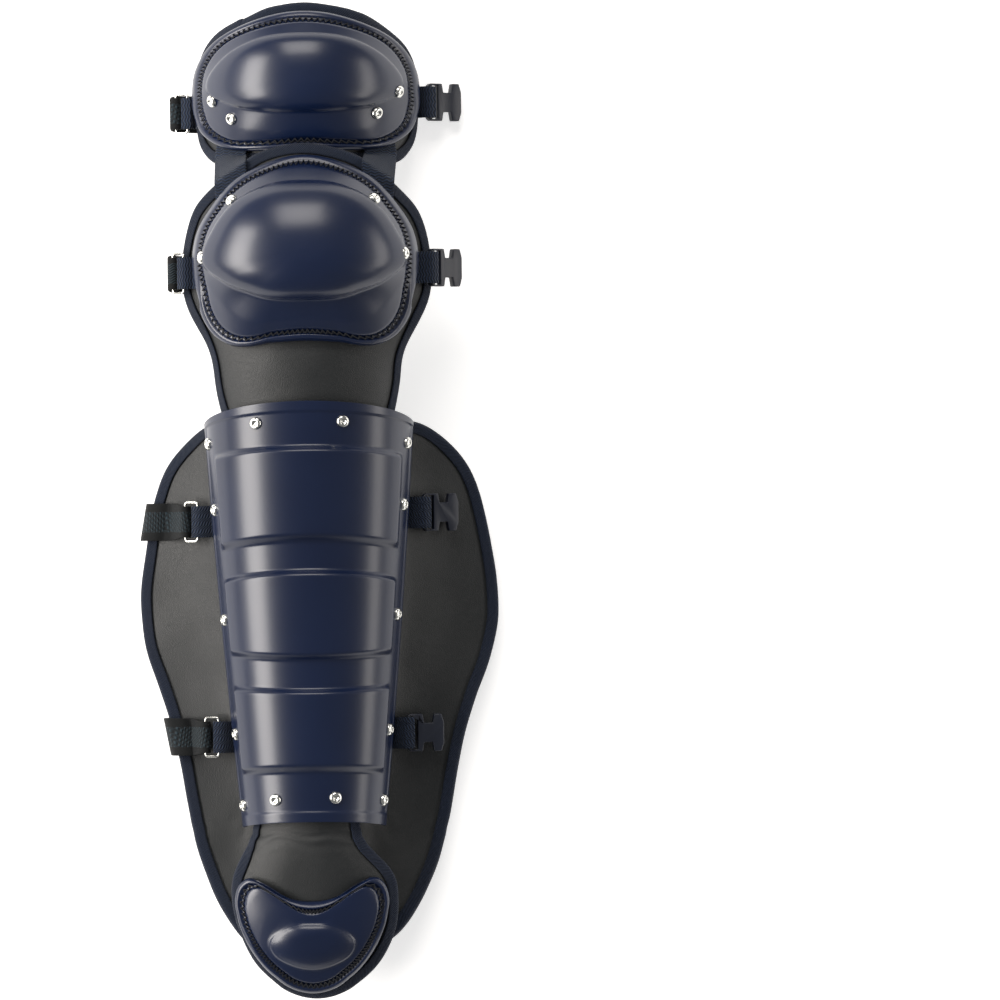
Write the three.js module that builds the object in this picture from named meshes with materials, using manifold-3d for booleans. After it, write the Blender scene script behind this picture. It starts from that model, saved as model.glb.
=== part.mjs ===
// Catcher leg guard, lying on its back with its front up.
// Millimetres, +Z up, +Y towards the thigh, +X to the buckle side.

import * as THREE from "three";
import { mergeVertices } from "three/addons/utils/BufferGeometryUtils.js";
import Module from "manifold-3d";

const wasm = await Module();
wasm.setup();

// Driving dimensions

const CLEAR = 0.4;

// Shin shell: half an ellipse tube that narrows to the foot
const SHELL_TOP_Y = 66.7;
const SHELL_LENGTH = 284;
const SHELL_TOP_HALF = 70.3;
const SHELL_FOOT_HALF = 47.3;
const SHELL_TOP_RISE = 56;
const SHELL_FOOT_RISE = 38;
const SHELL_TOP_AXIS = 44;
const SHELL_FOOT_AXIS = 30;
const SHELL_BELLY = 1.5;
const SHELL_WALL = 3;
const SHELL_EDGE_TURN = 84;
const PANEL_RAISE = 4.5;

// Pads
const PAD_THICK = 8;
const SHIN_PAD_LENGTH = 375;
const SHIN_PAD_ABOVE_SHELL = 7.3;
const LEFT_REACH = 115.5;
const RIGHT_REACH = 125;
const WING_EDGE_HEIGHT = 10.5;
const WING_LIFT_RATE = 0.35;
const WING_FLARE = 17;
const KNEE_TOP_Y = 232;
const KNEE_PAD_LENGTH = 203;
const KNEE_HALF = 83;
const KNEE_BEND = 88;
const KNEE_RISE = 55;
const KNEE_AXIS = 41;
const THIGH_TOP_Y = 331;
const THIGH_LENGTH = 98;
const THIGH_HALF = 74;
const THIGH_BEND = 80;
const THIGH_RISE = 84;
const THIGH_AXIS = -19;
const FOOT_TOP_Y = -190;
const FOOT_LENGTH = 141;
const FOOT_HALF = 55;
const FOOT_BEND = 68;

// Binding tape
const TAPE_THICK = 1.1;
const TAPE_LIP = 6.5;
const TAPE_CLEAR = 0.85;

// Caps
const CAP_WALL = 2.6;
const KNEE_CAP_HALF = 71.5;
const KNEE_CAP_HALF_HEIGHT = 62.7;
const KNEE_CAP_Y = 165.3;
const KNEE_CAP_DOME = 35;
const THIGH_CAP_HALF = 71.5;
const THIGH_CAP_HALF_HEIGHT = 44;
const THIGH_CAP_Y = 281.5;
const THIGH_CAP_DOME = 20;
const FOOT_CAP_HALF = 49;
const FOOT_CAP_HALF_HEIGHT = 36;
const FOOT_CAP_X = -1.5;
const FOOT_CAP_Y = -290;
const FOOT_CAP_DOME = 7;

// Cushions on the back
const KNEE_CUSHION_HALF = 65;
const KNEE_CUSHION_HALF_HEIGHT = 60;
const KNEE_CUSHION_Y = 151;
const KNEE_CUSHION_THICK = 16;
const THIGH_CUSHION_HALF = 56;
const THIGH_CUSHION_HALF_HEIGHT = 31;
const THIGH_CUSHION_Y = 276;
const THIGH_CUSHION_THICK = 12;

// Hardware
const RIVET_RADIUS = 3.9;
const RIVET_HEIGHT = 1.5;
const WEB_THICK = 1.8;
const LINK_WIDTH = 20;
const LINK_X = 47.5;
const TAB_WIDTH = 21;
const STRAP_WIDTH = 25;
const RING_WIRE = 1.3;
const RING_LENGTH = 29;
const RING_CORNER = 2;
const RING_GAP = 9;
const BUCKLE_WIDTH = 25;
const BUCKLE_LENGTH = 25;
const BUCKLE_THICK = 5;
const BUCKLE_BAR = 3;
const BUCKLE_SLOT = 4.4;

// What lies between a pad and the hard piece above it
const FACET_ROOM = 0.6;
const TAPE_STAND = TAPE_THICK + TAPE_CLEAR;
const WEB_SEAT = WEB_THICK + 2 * CLEAR;
const CAP_SEAT = WEB_SEAT + 3 * FACET_ROOM;
const WEB_LOW = WEB_THICK / 2 + CLEAR + FACET_ROOM;
const NEST_INSET = SHELL_WALL + CLEAR + TAPE_STAND + FACET_ROOM;
const UNDER_SHELL = NEST_INSET + PAD_THICK + 2 * TAPE_STAND + CLEAR + FACET_ROOM;
const BESIDE_SHELL = SHELL_WALL + WEB_SEAT + 2 * FACET_ROOM;

// Tables: lengths are shares of the named sizes

const SHELL_ROWS = [
  { at: 0.0, bow: 0.05, raise: 0 },
  { at: 0.026, bow: 0.036, raise: 0 },
  { at: 0.099, bow: 0.033, raise: 0 },
  { at: 0.117, bow: 0.033, raise: 1 },
  { at: 0.305, bow: 0.04, raise: 1 },
  { at: 0.331, bow: 0.031, raise: 0 },
  { at: 0.387, bow: 0.038, raise: 0 },
  { at: 0.406, bow: 0.033, raise: 1 },
  { at: 0.585, bow: -0.014, raise: 1 },
  { at: 0.608, bow: -0.019, raise: 0 },
  { at: 0.667, bow: -0.012, raise: 0 },
  { at: 0.683, bow: -0.009, raise: 1 },
  { at: 0.845, bow: 0.019, raise: 1 },
  { at: 0.87, bow: 0.008, raise: 0 },
  { at: 0.953, bow: 0.012, raise: 0 },
  { at: 0.982, bow: 0.017, raise: 0 },
];

const SHELL_TURNS = [
  { turn: 0, raise: 1 },
  { turn: 16, raise: 1 },
  { turn: 32, raise: 1 },
  { turn: 47, raise: 1 },
  { turn: 60.5, raise: 1 },
  { turn: 65.5, raise: 0 },
  { turn: 75, raise: 0 },
  { turn: 84, raise: 0 },
];

const SHIN_RIVETS = [
  { at: 0.096, turn: -76 },
  { at: 0.05, turn: -29 },
  { at: 0.048, turn: 20 },
  { at: 0.099, turn: 73 },
  { at: 0.251, turn: -74 },
  { at: 0.243, turn: 72 },
  { at: 0.509, turn: -73 },
  { at: 0.5, turn: 72 },
  { at: 0.778, turn: -73 },
  { at: 0.771, turn: 72 },
  { at: 0.946, turn: -73 },
  { at: 0.937, turn: 72 },
  { at: 0.93, turn: -30 },
  { at: 0.926, turn: 18 },
];

// How far the wings reach, from the top of the shin pad to its foot
const WING_ROWS = [
  { at: 0.0, reach: 0.6 },
  { at: 0.055, reach: 0.6 },
  { at: 0.082, reach: 0.69 },
  { at: 0.109, reach: 0.78 },
  { at: 0.14, reach: 0.855 },
  { at: 0.189, reach: 0.905 },
  { at: 0.269, reach: 0.95 },
  { at: 0.376, reach: 1.0 },
  { at: 0.429, reach: 0.995 },
  { at: 0.482, reach: 0.94 },
  { at: 0.536, reach: 0.87 },
  { at: 0.589, reach: 0.81 },
  { at: 0.669, reach: 0.76 },
  { at: 0.776, reach: 0.707 },
  { at: 0.829, reach: 0.666 },
  { at: 0.883, reach: 0.603 },
  { at: 0.936, reach: 0.51 },
  { at: 0.966, reach: 0.46 },
  { at: 1.0, reach: 0.42 },
];

// Top and bottom edges of the shin pad, as shares of its length, by column
const SHIN_COLUMNS = [
  { column: 0.0, turn: 0, top: 0.043, foot: 0.795 },
  { column: 0.1, turn: 15, top: 0.038, foot: 0.796 },
  { column: 0.2, turn: 30, top: 0.016, foot: 0.799 },
  { column: 0.27, turn: 41, top: 0.003, foot: 0.803 },
  { column: 0.33, turn: 50, top: 0.0, foot: 0.812 },
  { column: 0.4, turn: 60, top: 0.006, foot: 0.828 },
  { column: 0.48, turn: 70, top: 0.02, foot: 0.856 },
  { column: 0.56, turn: 80, top: 0.038, foot: 0.89 },
  { column: 0.63, turn: 80, top: 0.045, foot: 0.93 },
  { column: 0.72, turn: 80, top: 0.051, foot: 0.972 },
  { column: 0.85, turn: 80, top: 0.056, foot: 0.995 },
  { column: 1.0, turn: 80, top: 0.062, foot: 0.965 },
];

// Room that the shin pad leaves beside the shell: 1 where a tongue lies between them
const TONGUE_ROOM = [
  { at: -0.03, room: 1 },
  { at: 0.135, room: 1 },
  { at: 0.215, room: 0 },
  { at: 0.82, room: 0 },
  { at: 0.88, room: 1 },
  { at: 1.0, room: 1 },
];

const KNEE_ROWS = [
  { at: 0.0, half: 0.5, bow: -0.055, rise: 0.69, nest: 0 },
  { at: 0.06, half: 0.69, bow: -0.05, rise: 0.78, nest: 0 },
  { at: 0.12, half: 0.83, bow: -0.036, rise: 0.86, nest: 0 },
  { at: 0.19, half: 0.92, bow: -0.018, rise: 0.93, nest: 0 },
  { at: 0.27, half: 0.97, bow: -0.005, rise: 0.98, nest: 0 },
  { at: 0.36, half: 1.0, bow: 0, rise: 1.0, nest: 0 },
  { at: 0.45, half: 0.985, bow: 0, rise: 1.0, nest: 0 },
  { at: 0.52, half: 0.93, bow: 0, rise: 1.0, nest: 0.15 },
  { at: 0.58, half: 0.85, bow: 0, rise: 1.0, nest: 0.4 },
  { at: 0.64, half: 0.765, bow: 0, rise: 1.0, nest: 0.7 },
  { at: 0.7, half: 0.735, bow: 0, rise: 1.0, nest: 0.9 },
  { at: 0.76, half: 0.73, bow: 0, rise: 1.0, nest: 1 },
  { at: 0.83, half: 0.7, bow: 0, rise: 1.0, nest: 1 },
  { at: 0.89, half: 0.66, bow: 0, rise: 1.0, nest: 1 },
  { at: 0.95, half: 0.57, bow: 0.01, rise: 1.0, nest: 1 },
  { at: 1.0, half: 0.45, bow: 0.03, rise: 1.0, nest: 1 },
];

const THIGH_ROWS = [
  { at: 0.0, half: 0.55, bow: -0.08, rise: 0.95 },
  { at: 0.1, half: 0.77, bow: -0.07, rise: 0.975 },
  { at: 0.22, half: 0.9, bow: -0.05, rise: 0.99 },
  { at: 0.36, half: 0.97, bow: -0.03, rise: 1.0 },
  { at: 0.5, half: 1.0, bow: -0.01, rise: 1.0 },
  { at: 0.65, half: 1.0, bow: 0, rise: 1.0 },
  { at: 0.8, half: 0.99, bow: 0, rise: 0.995 },
  { at: 0.91, half: 0.95, bow: 0.01, rise: 0.985 },
  { at: 1.0, half: 0.83, bow: 0.02, rise: 0.975 },
];

const FOOT_ROWS = [
  { at: 0.0, left: 0.69, right: 0.53, bow: 0, nest: 1, drop: 0 },
  { at: 0.19, left: 0.69, right: 0.53, bow: 0, nest: 1, drop: 0 },
  { at: 0.26, left: 0.75, right: 0.59, bow: 0, nest: 0.6, drop: 0.02 },
  { at: 0.335, left: 0.87, right: 0.77, bow: 0, nest: 0.25, drop: 0.05 },
  { at: 0.4, left: 0.965, right: 0.93, bow: 0, nest: 0.08, drop: 0.08 },
  { at: 0.48, left: 1.0, right: 1.0, bow: 0, nest: 0, drop: 0.13 },
  { at: 0.6, left: 0.96, right: 1.0, bow: 0, nest: 0, drop: 0.22 },
  { at: 0.7, left: 0.88, right: 0.95, bow: 0, nest: 0, drop: 0.33 },
  { at: 0.79, left: 0.79, right: 0.85, bow: 0.005, nest: 0, drop: 0.45 },
  { at: 0.88, left: 0.66, right: 0.71, bow: 0.015, nest: 0, drop: 0.62 },
  { at: 1.0, left: 0.42, right: 0.45, bow: 0.055, nest: 0, drop: 0.9 },
];

// Cap outlines, as shares of the half width and half height, right half from the top down
const KNEE_CAP_OUTLINE = [
  [0, 1], [0.37, 0.905], [0.63, 0.745], [0.82, 0.5], [0.955, 0.235], [1, 0],
  [0.966, -0.42], [0.88, -0.83], [0.79, -0.965], [0.66, -1], [0.5, -0.995], [0.3, -0.96], [0, -0.945],
];
const KNEE_ALMOND = [
  [0, 0.68], [0.32, 0.645], [0.58, 0.51], [0.79, 0.22], [0.88, -0.12], [0.72, -0.3], [0.45, -0.44], [0, -0.51],
];
const THIGH_CAP_OUTLINE = [
  [0, 1], [0.46, 0.87], [0.79, 0.6], [0.96, 0.22], [1, -0.15], [0.97, -0.5], [0.87, -0.76], [0.69, -0.94],
  [0.35, -0.95], [0, -0.93],
];
const THIGH_ALMOND = [
  [0, 0.63], [0.45, 0.53], [0.72, 0.26], [0.83, -0.17], [0.64, -0.37], [0.33, -0.48], [0, -0.51],
];
const FOOT_CAP_OUTLINE = [
  [0, 0.7], [0.17, 0.78], [0.36, 0.94], [0.55, 1.09], [0.76, 1.14], [0.93, 1.03], [1, 0.78],
  [0.98, 0.45], [0.9, 0.06], [0.75, -0.33], [0.52, -0.68], [0.27, -0.92], [0, -1],
];
const FOOT_OVAL = [
  [0, 0.3], [0.32, 0.23], [0.52, 0.02], [0.5, -0.22], [0.28, -0.42], [0, -0.5],
];
const ROUND_OUTLINE = [
  [0, 1], [0.383, 0.924], [0.707, 0.707], [0.924, 0.383], [1, 0], [0.924, -0.383], [0.707, -0.707],
  [0.383, -0.924], [0, -1],
];
const HALF_MOON_OUTLINE = [
  [0, 0.95], [0.5, 0.93], [0.85, 0.85], [1, 0.6], [0.97, 0.1], [0.8, -0.5], [0.5, -0.88], [0, -1],
];

// Rings of a cap from its middle out: blend 0 is the raised form, 1 the edge
const KNEE_CAP_RINGS = [
  { blend: 0, size: 0.3, rise: 0.985 },
  { blend: 0, size: 0.6, rise: 0.915 },
  { blend: 0, size: 0.85, rise: 0.77 },
  { blend: 0, size: 0.97, rise: 0.6 },
  { blend: 0.06, size: 1, rise: 0.46 },
  { blend: 0.5, size: 1, rise: 0.25 },
  { blend: 0.8, size: 1, rise: 0.06 },
  { blend: 1, size: 1, rise: 0 },
];
const THIGH_CAP_RINGS = [
  { blend: 0, size: 0.3, rise: 0.99 },
  { blend: 0, size: 0.6, rise: 0.94 },
  { blend: 0, size: 0.87, rise: 0.8 },
  { blend: 0, size: 0.98, rise: 0.62 },
  { blend: 0.07, size: 1, rise: 0.5 },
  { blend: 0.5, size: 1, rise: 0.28 },
  { blend: 0.75, size: 1, rise: 0.07 },
  { blend: 1, size: 1, rise: 0 },
];
const FOOT_CAP_RINGS = [
  { blend: 0, size: 0.45, rise: 1 },
  { blend: 0, size: 0.8, rise: 0.97 },
  { blend: 0.02, size: 1.05, rise: 0.35 },
  { blend: 0.4, size: 1, rise: 0.3 },
  { blend: 0.75, size: 1, rise: 0.22 },
  { blend: 0.86, size: 1, rise: 0.03 },
  { blend: 1, size: 1, rise: 0 },
];

// Rivets on the caps, as shares of the cap's half sizes
const KNEE_RIVETS = [
  { x: -0.65, y: 0.53 },
  { x: 0.64, y: 0.53 },
  { x: -0.925, y: -0.06 },
  { x: 0.905, y: -0.04 },
];
const THIGH_RIVETS = [
  { x: -0.83, y: -0.33 },
  { x: -0.64, y: -0.61 },
  { x: 0.64, y: -0.55 },
  { x: 0.85, y: -0.22 },
];

// Where the straps leave: share along the shell, or of the cap's half height
const SHIN_STATIONS = [
  { name: "upper_shin", left: 0.278, right: 0.262, droop: 22 },
  { name: "lower_shin", left: 0.786, right: 0.781, droop: 9 },
];
const KNEE_STATION = { name: "knee", left: -0.2, right: -0.17 };
const THIGH_STATION = { name: "thigh", left: -0.44, right: -0.31 };

// Materials

const NAVY_GLOSS = { color: 0x1c2b49, roughness: 0.28, metalness: 0 };
const DARK_LEATHER = { color: 0x34383b, roughness: 0.6, metalness: 0 };
const NAVY_TAPE = { color: 0x17233c, roughness: 0.9, metalness: 0 };
const BLACK_CLOTH = { color: 0x14191b, roughness: 0.95, metalness: 0 };
const BRIGHT_NICKEL = { color: 0xd8d8d4, roughness: 0.2, metalness: 1 };
const BLACK_PLASTIC = { color: 0x1a1f2a, roughness: 0.45, metalness: 0 };
const ELASTIC = { color: 0x11181a, roughness: 0.9, metalness: 0 };

// Small helpers

const radians = THREE.MathUtils.degToRad;
const mix = THREE.MathUtils.lerp;
const clamp = THREE.MathUtils.clamp;

// A smooth value from a table whose rows rise in the column named by
function fromTable(table, at, column, by = "at") {
  const last = table.length - 1;
  let i = 0;
  while (i < last - 1 && table[i + 1][by] < at) i += 1;
  const a = table[i];
  const b = table[i + 1];
  const before = table[Math.max(0, i - 1)];
  const after = table[Math.min(last, i + 2)];
  const span = b[by] - a[by];
  const u = clamp((at - a[by]) / span, 0, 1);
  const slopeA = ((b[column] - before[column]) / (b[by] - before[by])) * span;
  const slopeB = ((after[column] - a[column]) / (after[by] - a[by])) * span;
  const u2 = u * u;
  const u3 = u2 * u;
  return (
    (2 * u3 - 3 * u2 + 1) * a[column] +
    (u3 - 2 * u2 + u) * slopeA +
    (3 * u2 - 2 * u3) * b[column] +
    (u3 - u2) * slopeB
  );
}

function plainFromTable(table, at, column, by = "at") {
  const last = table.length - 1;
  let i = 0;
  while (i < last - 1 && table[i + 1][by] < at) i += 1;
  const u = clamp((at - table[i][by]) / (table[i + 1][by] - table[i][by]), 0, 1);
  return mix(table[i][column], table[i + 1][column], u);
}

function volumeOf(geometry) {
  const p = geometry.attributes.position;
  const index = geometry.index;
  const a = new THREE.Vector3();
  const b = new THREE.Vector3();
  const c = new THREE.Vector3();
  let total = 0;
  for (let i = 0; i < index.count; i += 3) {
    a.fromBufferAttribute(p, index.getX(i));
    b.fromBufferAttribute(p, index.getX(i + 1));
    c.fromBufferAttribute(p, index.getX(i + 2));
    total += a.dot(b.cross(c)) / 6;
  }
  return total;
}

// Moves every corner of a closed shape and keeps its faces pointing out
function moulded(shape, move) {
  shape.deleteAttribute("normal");
  shape.deleteAttribute("uv");
  const geometry = mergeVertices(shape, 1e-4);
  const p = geometry.attributes.position;
  const corner = new THREE.Vector3();
  for (let i = 0; i < p.count; i += 1) {
    const moved = move(corner.fromBufferAttribute(p, i));
    p.setXYZ(i, moved.x, moved.y, moved.z);
  }
  if (volumeOf(geometry) < 0) {
    const index = geometry.index;
    for (let i = 0; i < index.count; i += 3) {
      const second = index.getX(i + 1);
      index.setX(i + 1, index.getX(i + 2));
      index.setX(i + 2, second);
    }
  }
  geometry.computeVertexNormals();
  return geometry;
}

function solidOf(geometry) {
  const { position } = geometry.attributes;
  const mesh = new wasm.Mesh({
    numProp: 3,
    vertProperties: new Float32Array(position.array),
    triVerts: new Uint32Array(geometry.index.array),
  });
  return new wasm.Manifold(mesh);
}

// What is left of a piece clear of its neighbour
function cutClear(piece, neighbour) {
  const left = solidOf(piece).subtract(solidOf(neighbour));
  const [main] = left.decompose().sort((a, b) => b.volume() - a.volume());
  const mesh = main.getMesh();
  const geometry = new THREE.BufferGeometry();
  geometry.setAttribute("position", new THREE.BufferAttribute(mesh.vertProperties, 3));
  geometry.setIndex(new THREE.BufferAttribute(mesh.triVerts, 1));
  geometry.computeVertexNormals();
  return geometry;
}

// A slab whose corners are placed by (across, along, isFront)
function slab(across, along, place) {
  const box = new THREE.BoxGeometry(1, 1, 1, across.length - 1, along.length - 1, 1);
  return moulded(box, (p) => {
    const i = Math.round((p.x + 0.5) * (across.length - 1));
    const j = Math.round((0.5 - p.y) * (along.length - 1));
    return place(across[i], along[j], p.z > 0);
  });
}

// A disc of rings and spokes whose corners are placed by (ring, angle, isFront)
function disc(rings, spokes, place) {
  const profile = [];
  for (let ring = 0; ring <= rings; ring += 1) profile.push(new THREE.Vector2(ring, 1));
  for (let ring = rings; ring >= 0; ring -= 1) profile.push(new THREE.Vector2(ring, 0));
  return moulded(new THREE.LatheGeometry(profile, spokes), (p) => {
    const ring = Math.round(Math.hypot(p.x, p.z));
    return place(ring, Math.atan2(p.x, p.z), p.y > 0.5);
  });
}

function even(count, from = 0, to = 1) {
  return Array.from({ length: count + 1 }, (unused, i) => mix(from, to, i / count));
}

function mirrored(list) {
  const right = list.filter((value) => value > 0);
  return [...right.map((value) => -value).reverse(), 0, ...right];
}

const group = new THREE.Group();

function add(name, geometry, finish) {
  const mesh = new THREE.Mesh(geometry, new THREE.MeshStandardMaterial(finish));
  mesh.name = name;
  group.add(mesh);
  return mesh;
}

// Pads

// The outward normal of a face told by front(across, along)
function normalOf(front, across, along) {
  const step = 1e-3;
  const u = front(across + step, along).sub(front(across - step, along));
  const v = front(across, along + step).sub(front(across, along - step));
  return v.cross(u).normalize();
}

function padShape(front, across, along, proud = 0) {
  return slab(across, along, (s, t, isFront) => {
    const depth = isFront ? -proud : PAD_THICK + proud;
    return front(s, t).addScaledVector(normalOf(front, s, t), -depth);
  });
}

// The flat-faced form of a pad's front or back: a place between the corners of its grid
function facetedFace(front, across, along, depth) {
  const grid = across.map((s) =>
    along.map((t) => front(s, t).addScaledVector(normalOf(front, s, t), -depth)),
  );
  const cell = (list, value) => {
    let i = 0;
    while (i < list.length - 2 && list[i + 1] < value) i += 1;
    return [i, (value - list[i]) / (list[i + 1] - list[i])];
  };
  return (s, t) => {
    const [i, u] = cell(across, s);
    const [j, v] = cell(along, t);
    const upper = grid[i][j].clone().lerp(grid[i + 1][j], u);
    const lower = grid[i][j + 1].clone().lerp(grid[i + 1][j + 1], u);
    return upper.lerp(lower, v);
  };
}

// The place on a face nearest to a point, walked to from a corner of its grid
function nearestOnFace(face, across, along, target) {
  let s = across;
  let t = along;
  for (let round = 0; round < 6; round += 1) {
    const stepS = s > 0 ? -1e-3 : 1e-3;
    const stepT = t > 0.5 ? -1e-3 : 1e-3;
    const here = face(s, t);
    const u = face(s + stepS, t).sub(here).divideScalar(stepS);
    const v = face(s, t + stepT).sub(here).divideScalar(stepT);
    const miss = target.clone().sub(here);
    const size = u.dot(u) * v.dot(v) - u.dot(v) ** 2;
    s += (u.dot(miss) * v.dot(v) - v.dot(miss) * u.dot(v)) / size;
    t += (v.dot(miss) * u.dot(u) - u.dot(miss) * u.dot(v)) / size;
    s = clamp(s, -1, 1);
    t = clamp(t, 0, 1);
  }
  return face(s, t);
}

// Tape folded round the rim of a pad, corner for corner with the pad's grid
function bindingShape(front, across, along) {
  const rim = [];
  const lastAcross = across.length - 1;
  const lastAlong = along.length - 1;
  for (let i = 0; i < lastAcross; i += 1) rim.push([across[i], along[0]]);
  for (let j = 0; j < lastAlong; j += 1) rim.push([across[lastAcross], along[j]]);
  for (let i = lastAcross; i > 0; i -= 1) rim.push([across[i], along[lastAlong]]);
  for (let j = lastAlong; j > 0; j -= 1) rim.push([across[0], along[j]]);
  const stations = rim.map(([s, t]) => ({ s, t, point: front(s, t), normal: normalOf(front, s, t) }));
  const faces = [0, PAD_THICK].map((depth) => facetedFace(front, across, along, depth));
  const count = stations.length;
  const corners = 6;
  const sections = stations.map((station, i) => {
    const next = stations[(i + 1) % count].point;
    const previous = stations[(i + count - 1) % count].point;
    const { s, t, point, normal } = station;
    const out = normal.clone().cross(next.clone().sub(previous)).normalize();
    const at = (sideways, up) => point.clone().addScaledVector(out, sideways).addScaledVector(normal, up);
    const frontLip = nearestOnFace(faces[0], s, t, at(-TAPE_LIP, 0));
    const backLip = nearestOnFace(faces[1], s, t, at(-TAPE_LIP, -PAD_THICK));
    return [
      frontLip.addScaledVector(normal, TAPE_CLEAR),
      at(TAPE_CLEAR, TAPE_CLEAR),
      at(TAPE_CLEAR, -PAD_THICK - TAPE_CLEAR),
      backLip.addScaledVector(normal, -TAPE_CLEAR),
      at(TAPE_STAND, -PAD_THICK - TAPE_STAND),
      at(TAPE_STAND, TAPE_STAND),
    ];
  });
  const ring = new THREE.TorusGeometry(2, 1, corners, count);
  const tape = moulded(ring, (p) => {
    const turn = Math.atan2(p.y, p.x) / (2 * Math.PI);
    const station = (Math.round(turn * count) + count) % count;
    const tilt = Math.atan2(p.z, Math.hypot(p.x, p.y) - 2) / (2 * Math.PI);
    const corner = (Math.round(tilt * corners) + corners) % corners;
    return sections[station][corner];
  });
  return cutClear(tape, padShape(front, across, along, CLEAR));
}

// Shin

function shellHalf(share) {
  return mix(SHELL_TOP_HALF, SHELL_FOOT_HALF, share) + 4 * SHELL_BELLY * share * (1 - share);
}

function shellSize(share) {
  const kept = clamp(share, -0.1, 1);
  return {
    half: shellHalf(kept),
    rise: mix(SHELL_TOP_RISE, SHELL_FOOT_RISE, kept),
    axis: mix(SHELL_TOP_AXIS, SHELL_FOOT_AXIS, kept),
  };
}

function shellShare(y) {
  return (SHELL_TOP_Y - y) / SHELL_LENGTH;
}

// A point on the shell's outside, a height above it
function shellPoint(share, turn, above) {
  const size = shellSize(share);
  const angle = radians(turn);
  return new THREE.Vector3(
    (size.half + above) * Math.sin(angle),
    SHELL_TOP_Y - share * SHELL_LENGTH,
    size.axis + (size.rise + above) * Math.cos(angle),
  );
}

function shellShape() {
  const turns = mirrored(SHELL_TURNS.map((row) => row.turn));
  const rows = SHELL_ROWS.map((row, i) => i);
  const edge = 1 - Math.cos(radians(SHELL_EDGE_TURN));
  return slab(turns, rows, (turn, i, isFront) => {
    const row = SHELL_ROWS[i];
    const share = row.at + (row.bow * (1 - Math.cos(radians(turn)))) / edge;
    const panel = row.raise * plainFromTable(SHELL_TURNS, Math.abs(turn), "raise", "turn");
    return shellPoint(share, turn, panel * PANEL_RAISE - (isFront ? 0 : SHELL_WALL));
  });
}

const SHIN_PAD_TOP_Y = SHELL_TOP_Y + SHIN_PAD_ABOVE_SHELL;

// Where the front of the shin pad runs at one y: column 0 is the crown, 1 the wing's edge
function shinCurve(y, column, reachSize) {
  const size = shellSize(shellShare(y));
  const room = plainFromTable(TONGUE_ROOM, shellShare(y), "room");
  const half = size.half - mix(BESIDE_SHELL, UNDER_SHELL, room);
  const rise = size.rise - UNDER_SHELL;
  const lastArch = SHIN_COLUMNS.find((row) => row.turn === SHIN_COLUMNS.at(-1).turn).column;
  const turn = radians(plainFromTable(SHIN_COLUMNS, column, "turn", "column"));
  const arch = new THREE.Vector2(half * Math.sin(turn), size.axis + rise * Math.cos(turn));
  if (column <= lastArch) return arch;
  const share = (SHIN_PAD_TOP_Y - y) / SHIN_PAD_LENGTH;
  const reach = reachSize * fromTable(WING_ROWS, clamp(share, 0, 1), "reach");
  const run = reach - arch.x;
  const lifted = WING_EDGE_HEIGHT + WING_LIFT_RATE * (reachSize - reach);
  const height = Math.max(WING_EDGE_HEIGHT, Math.min(lifted, arch.y - WING_LIFT_RATE * run));
  const slope = new THREE.Vector2(half * Math.cos(turn), -rise * Math.sin(turn)).normalize();
  const flare = Math.min(WING_FLARE, run / 3);
  const bend = arch.clone().addScaledVector(slope, flare);
  const tip = new THREE.Vector2(reach, height);
  const u = (column - lastArch) / (1 - lastArch);
  return new THREE.Vector2(
    (1 - u) ** 2 * arch.x + 2 * u * (1 - u) * bend.x + u * u * tip.x,
    (1 - u) ** 2 * arch.y + 2 * u * (1 - u) * bend.y + u * u * tip.y,
  );
}

function shinFront(across, along) {
  const column = clamp(Math.abs(across), 0, 1.01);
  const top = fromTable(SHIN_COLUMNS, column, "top", "column");
  const foot = fromTable(SHIN_COLUMNS, column, "foot", "column");
  const y = SHIN_PAD_TOP_Y - SHIN_PAD_LENGTH * mix(top, foot, along);
  const point = shinCurve(y, column, across < 0 ? LEFT_REACH : RIGHT_REACH);
  return new THREE.Vector3(Math.sign(across) * point.x, y, point.y);
}

// Knee, thigh and foot pads: an ellipse arch over x at each y

function archHeight(x, bend, rise, axis) {
  return axis + rise * Math.sqrt(Math.max(0.02, 1 - (x / bend) ** 2));
}

function nestHeight(x, y) {
  const size = shellSize(shellShare(y));
  return archHeight(x, size.half - NEST_INSET, size.rise - NEST_INSET, size.axis);
}

function kneeHeight(x, y) {
  const at = (KNEE_TOP_Y - y) / KNEE_PAD_LENGTH;
  const rise = KNEE_RISE * fromTable(KNEE_ROWS, clamp(at, 0, 1), "rise");
  const free = archHeight(x, KNEE_BEND, rise, KNEE_AXIS);
  return mix(free, nestHeight(x, y), plainFromTable(KNEE_ROWS, at, "nest"));
}

function thighHeight(x, y) {
  const at = (THIGH_TOP_Y - y) / THIGH_LENGTH;
  const rise = THIGH_RISE * fromTable(THIGH_ROWS, clamp(at, 0, 1), "rise");
  return archHeight(x, THIGH_BEND, rise, THIGH_AXIS);
}

function footHeight(x, y) {
  const at = (FOOT_TOP_Y - y) / FOOT_LENGTH;
  const drop = plainFromTable(FOOT_ROWS, at, "drop");
  const free = archHeight(x, FOOT_BEND, SHELL_FOOT_RISE, SHELL_FOOT_AXIS * (0.82 - drop));
  return mix(free, nestHeight(x, y), plainFromTable(FOOT_ROWS, at, "nest"));
}

function rowFront(rows, topY, length, sizeOf, height) {
  return (across, along) => {
    const side = across < 0 ? -1 : 1;
    const x = across * sizeOf(along, side);
    const bow = fromTable(rows, along, "bow");
    const y = topY - length * (along - bow * across * across);
    return new THREE.Vector3(x, y, height(x, y));
  };
}

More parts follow.
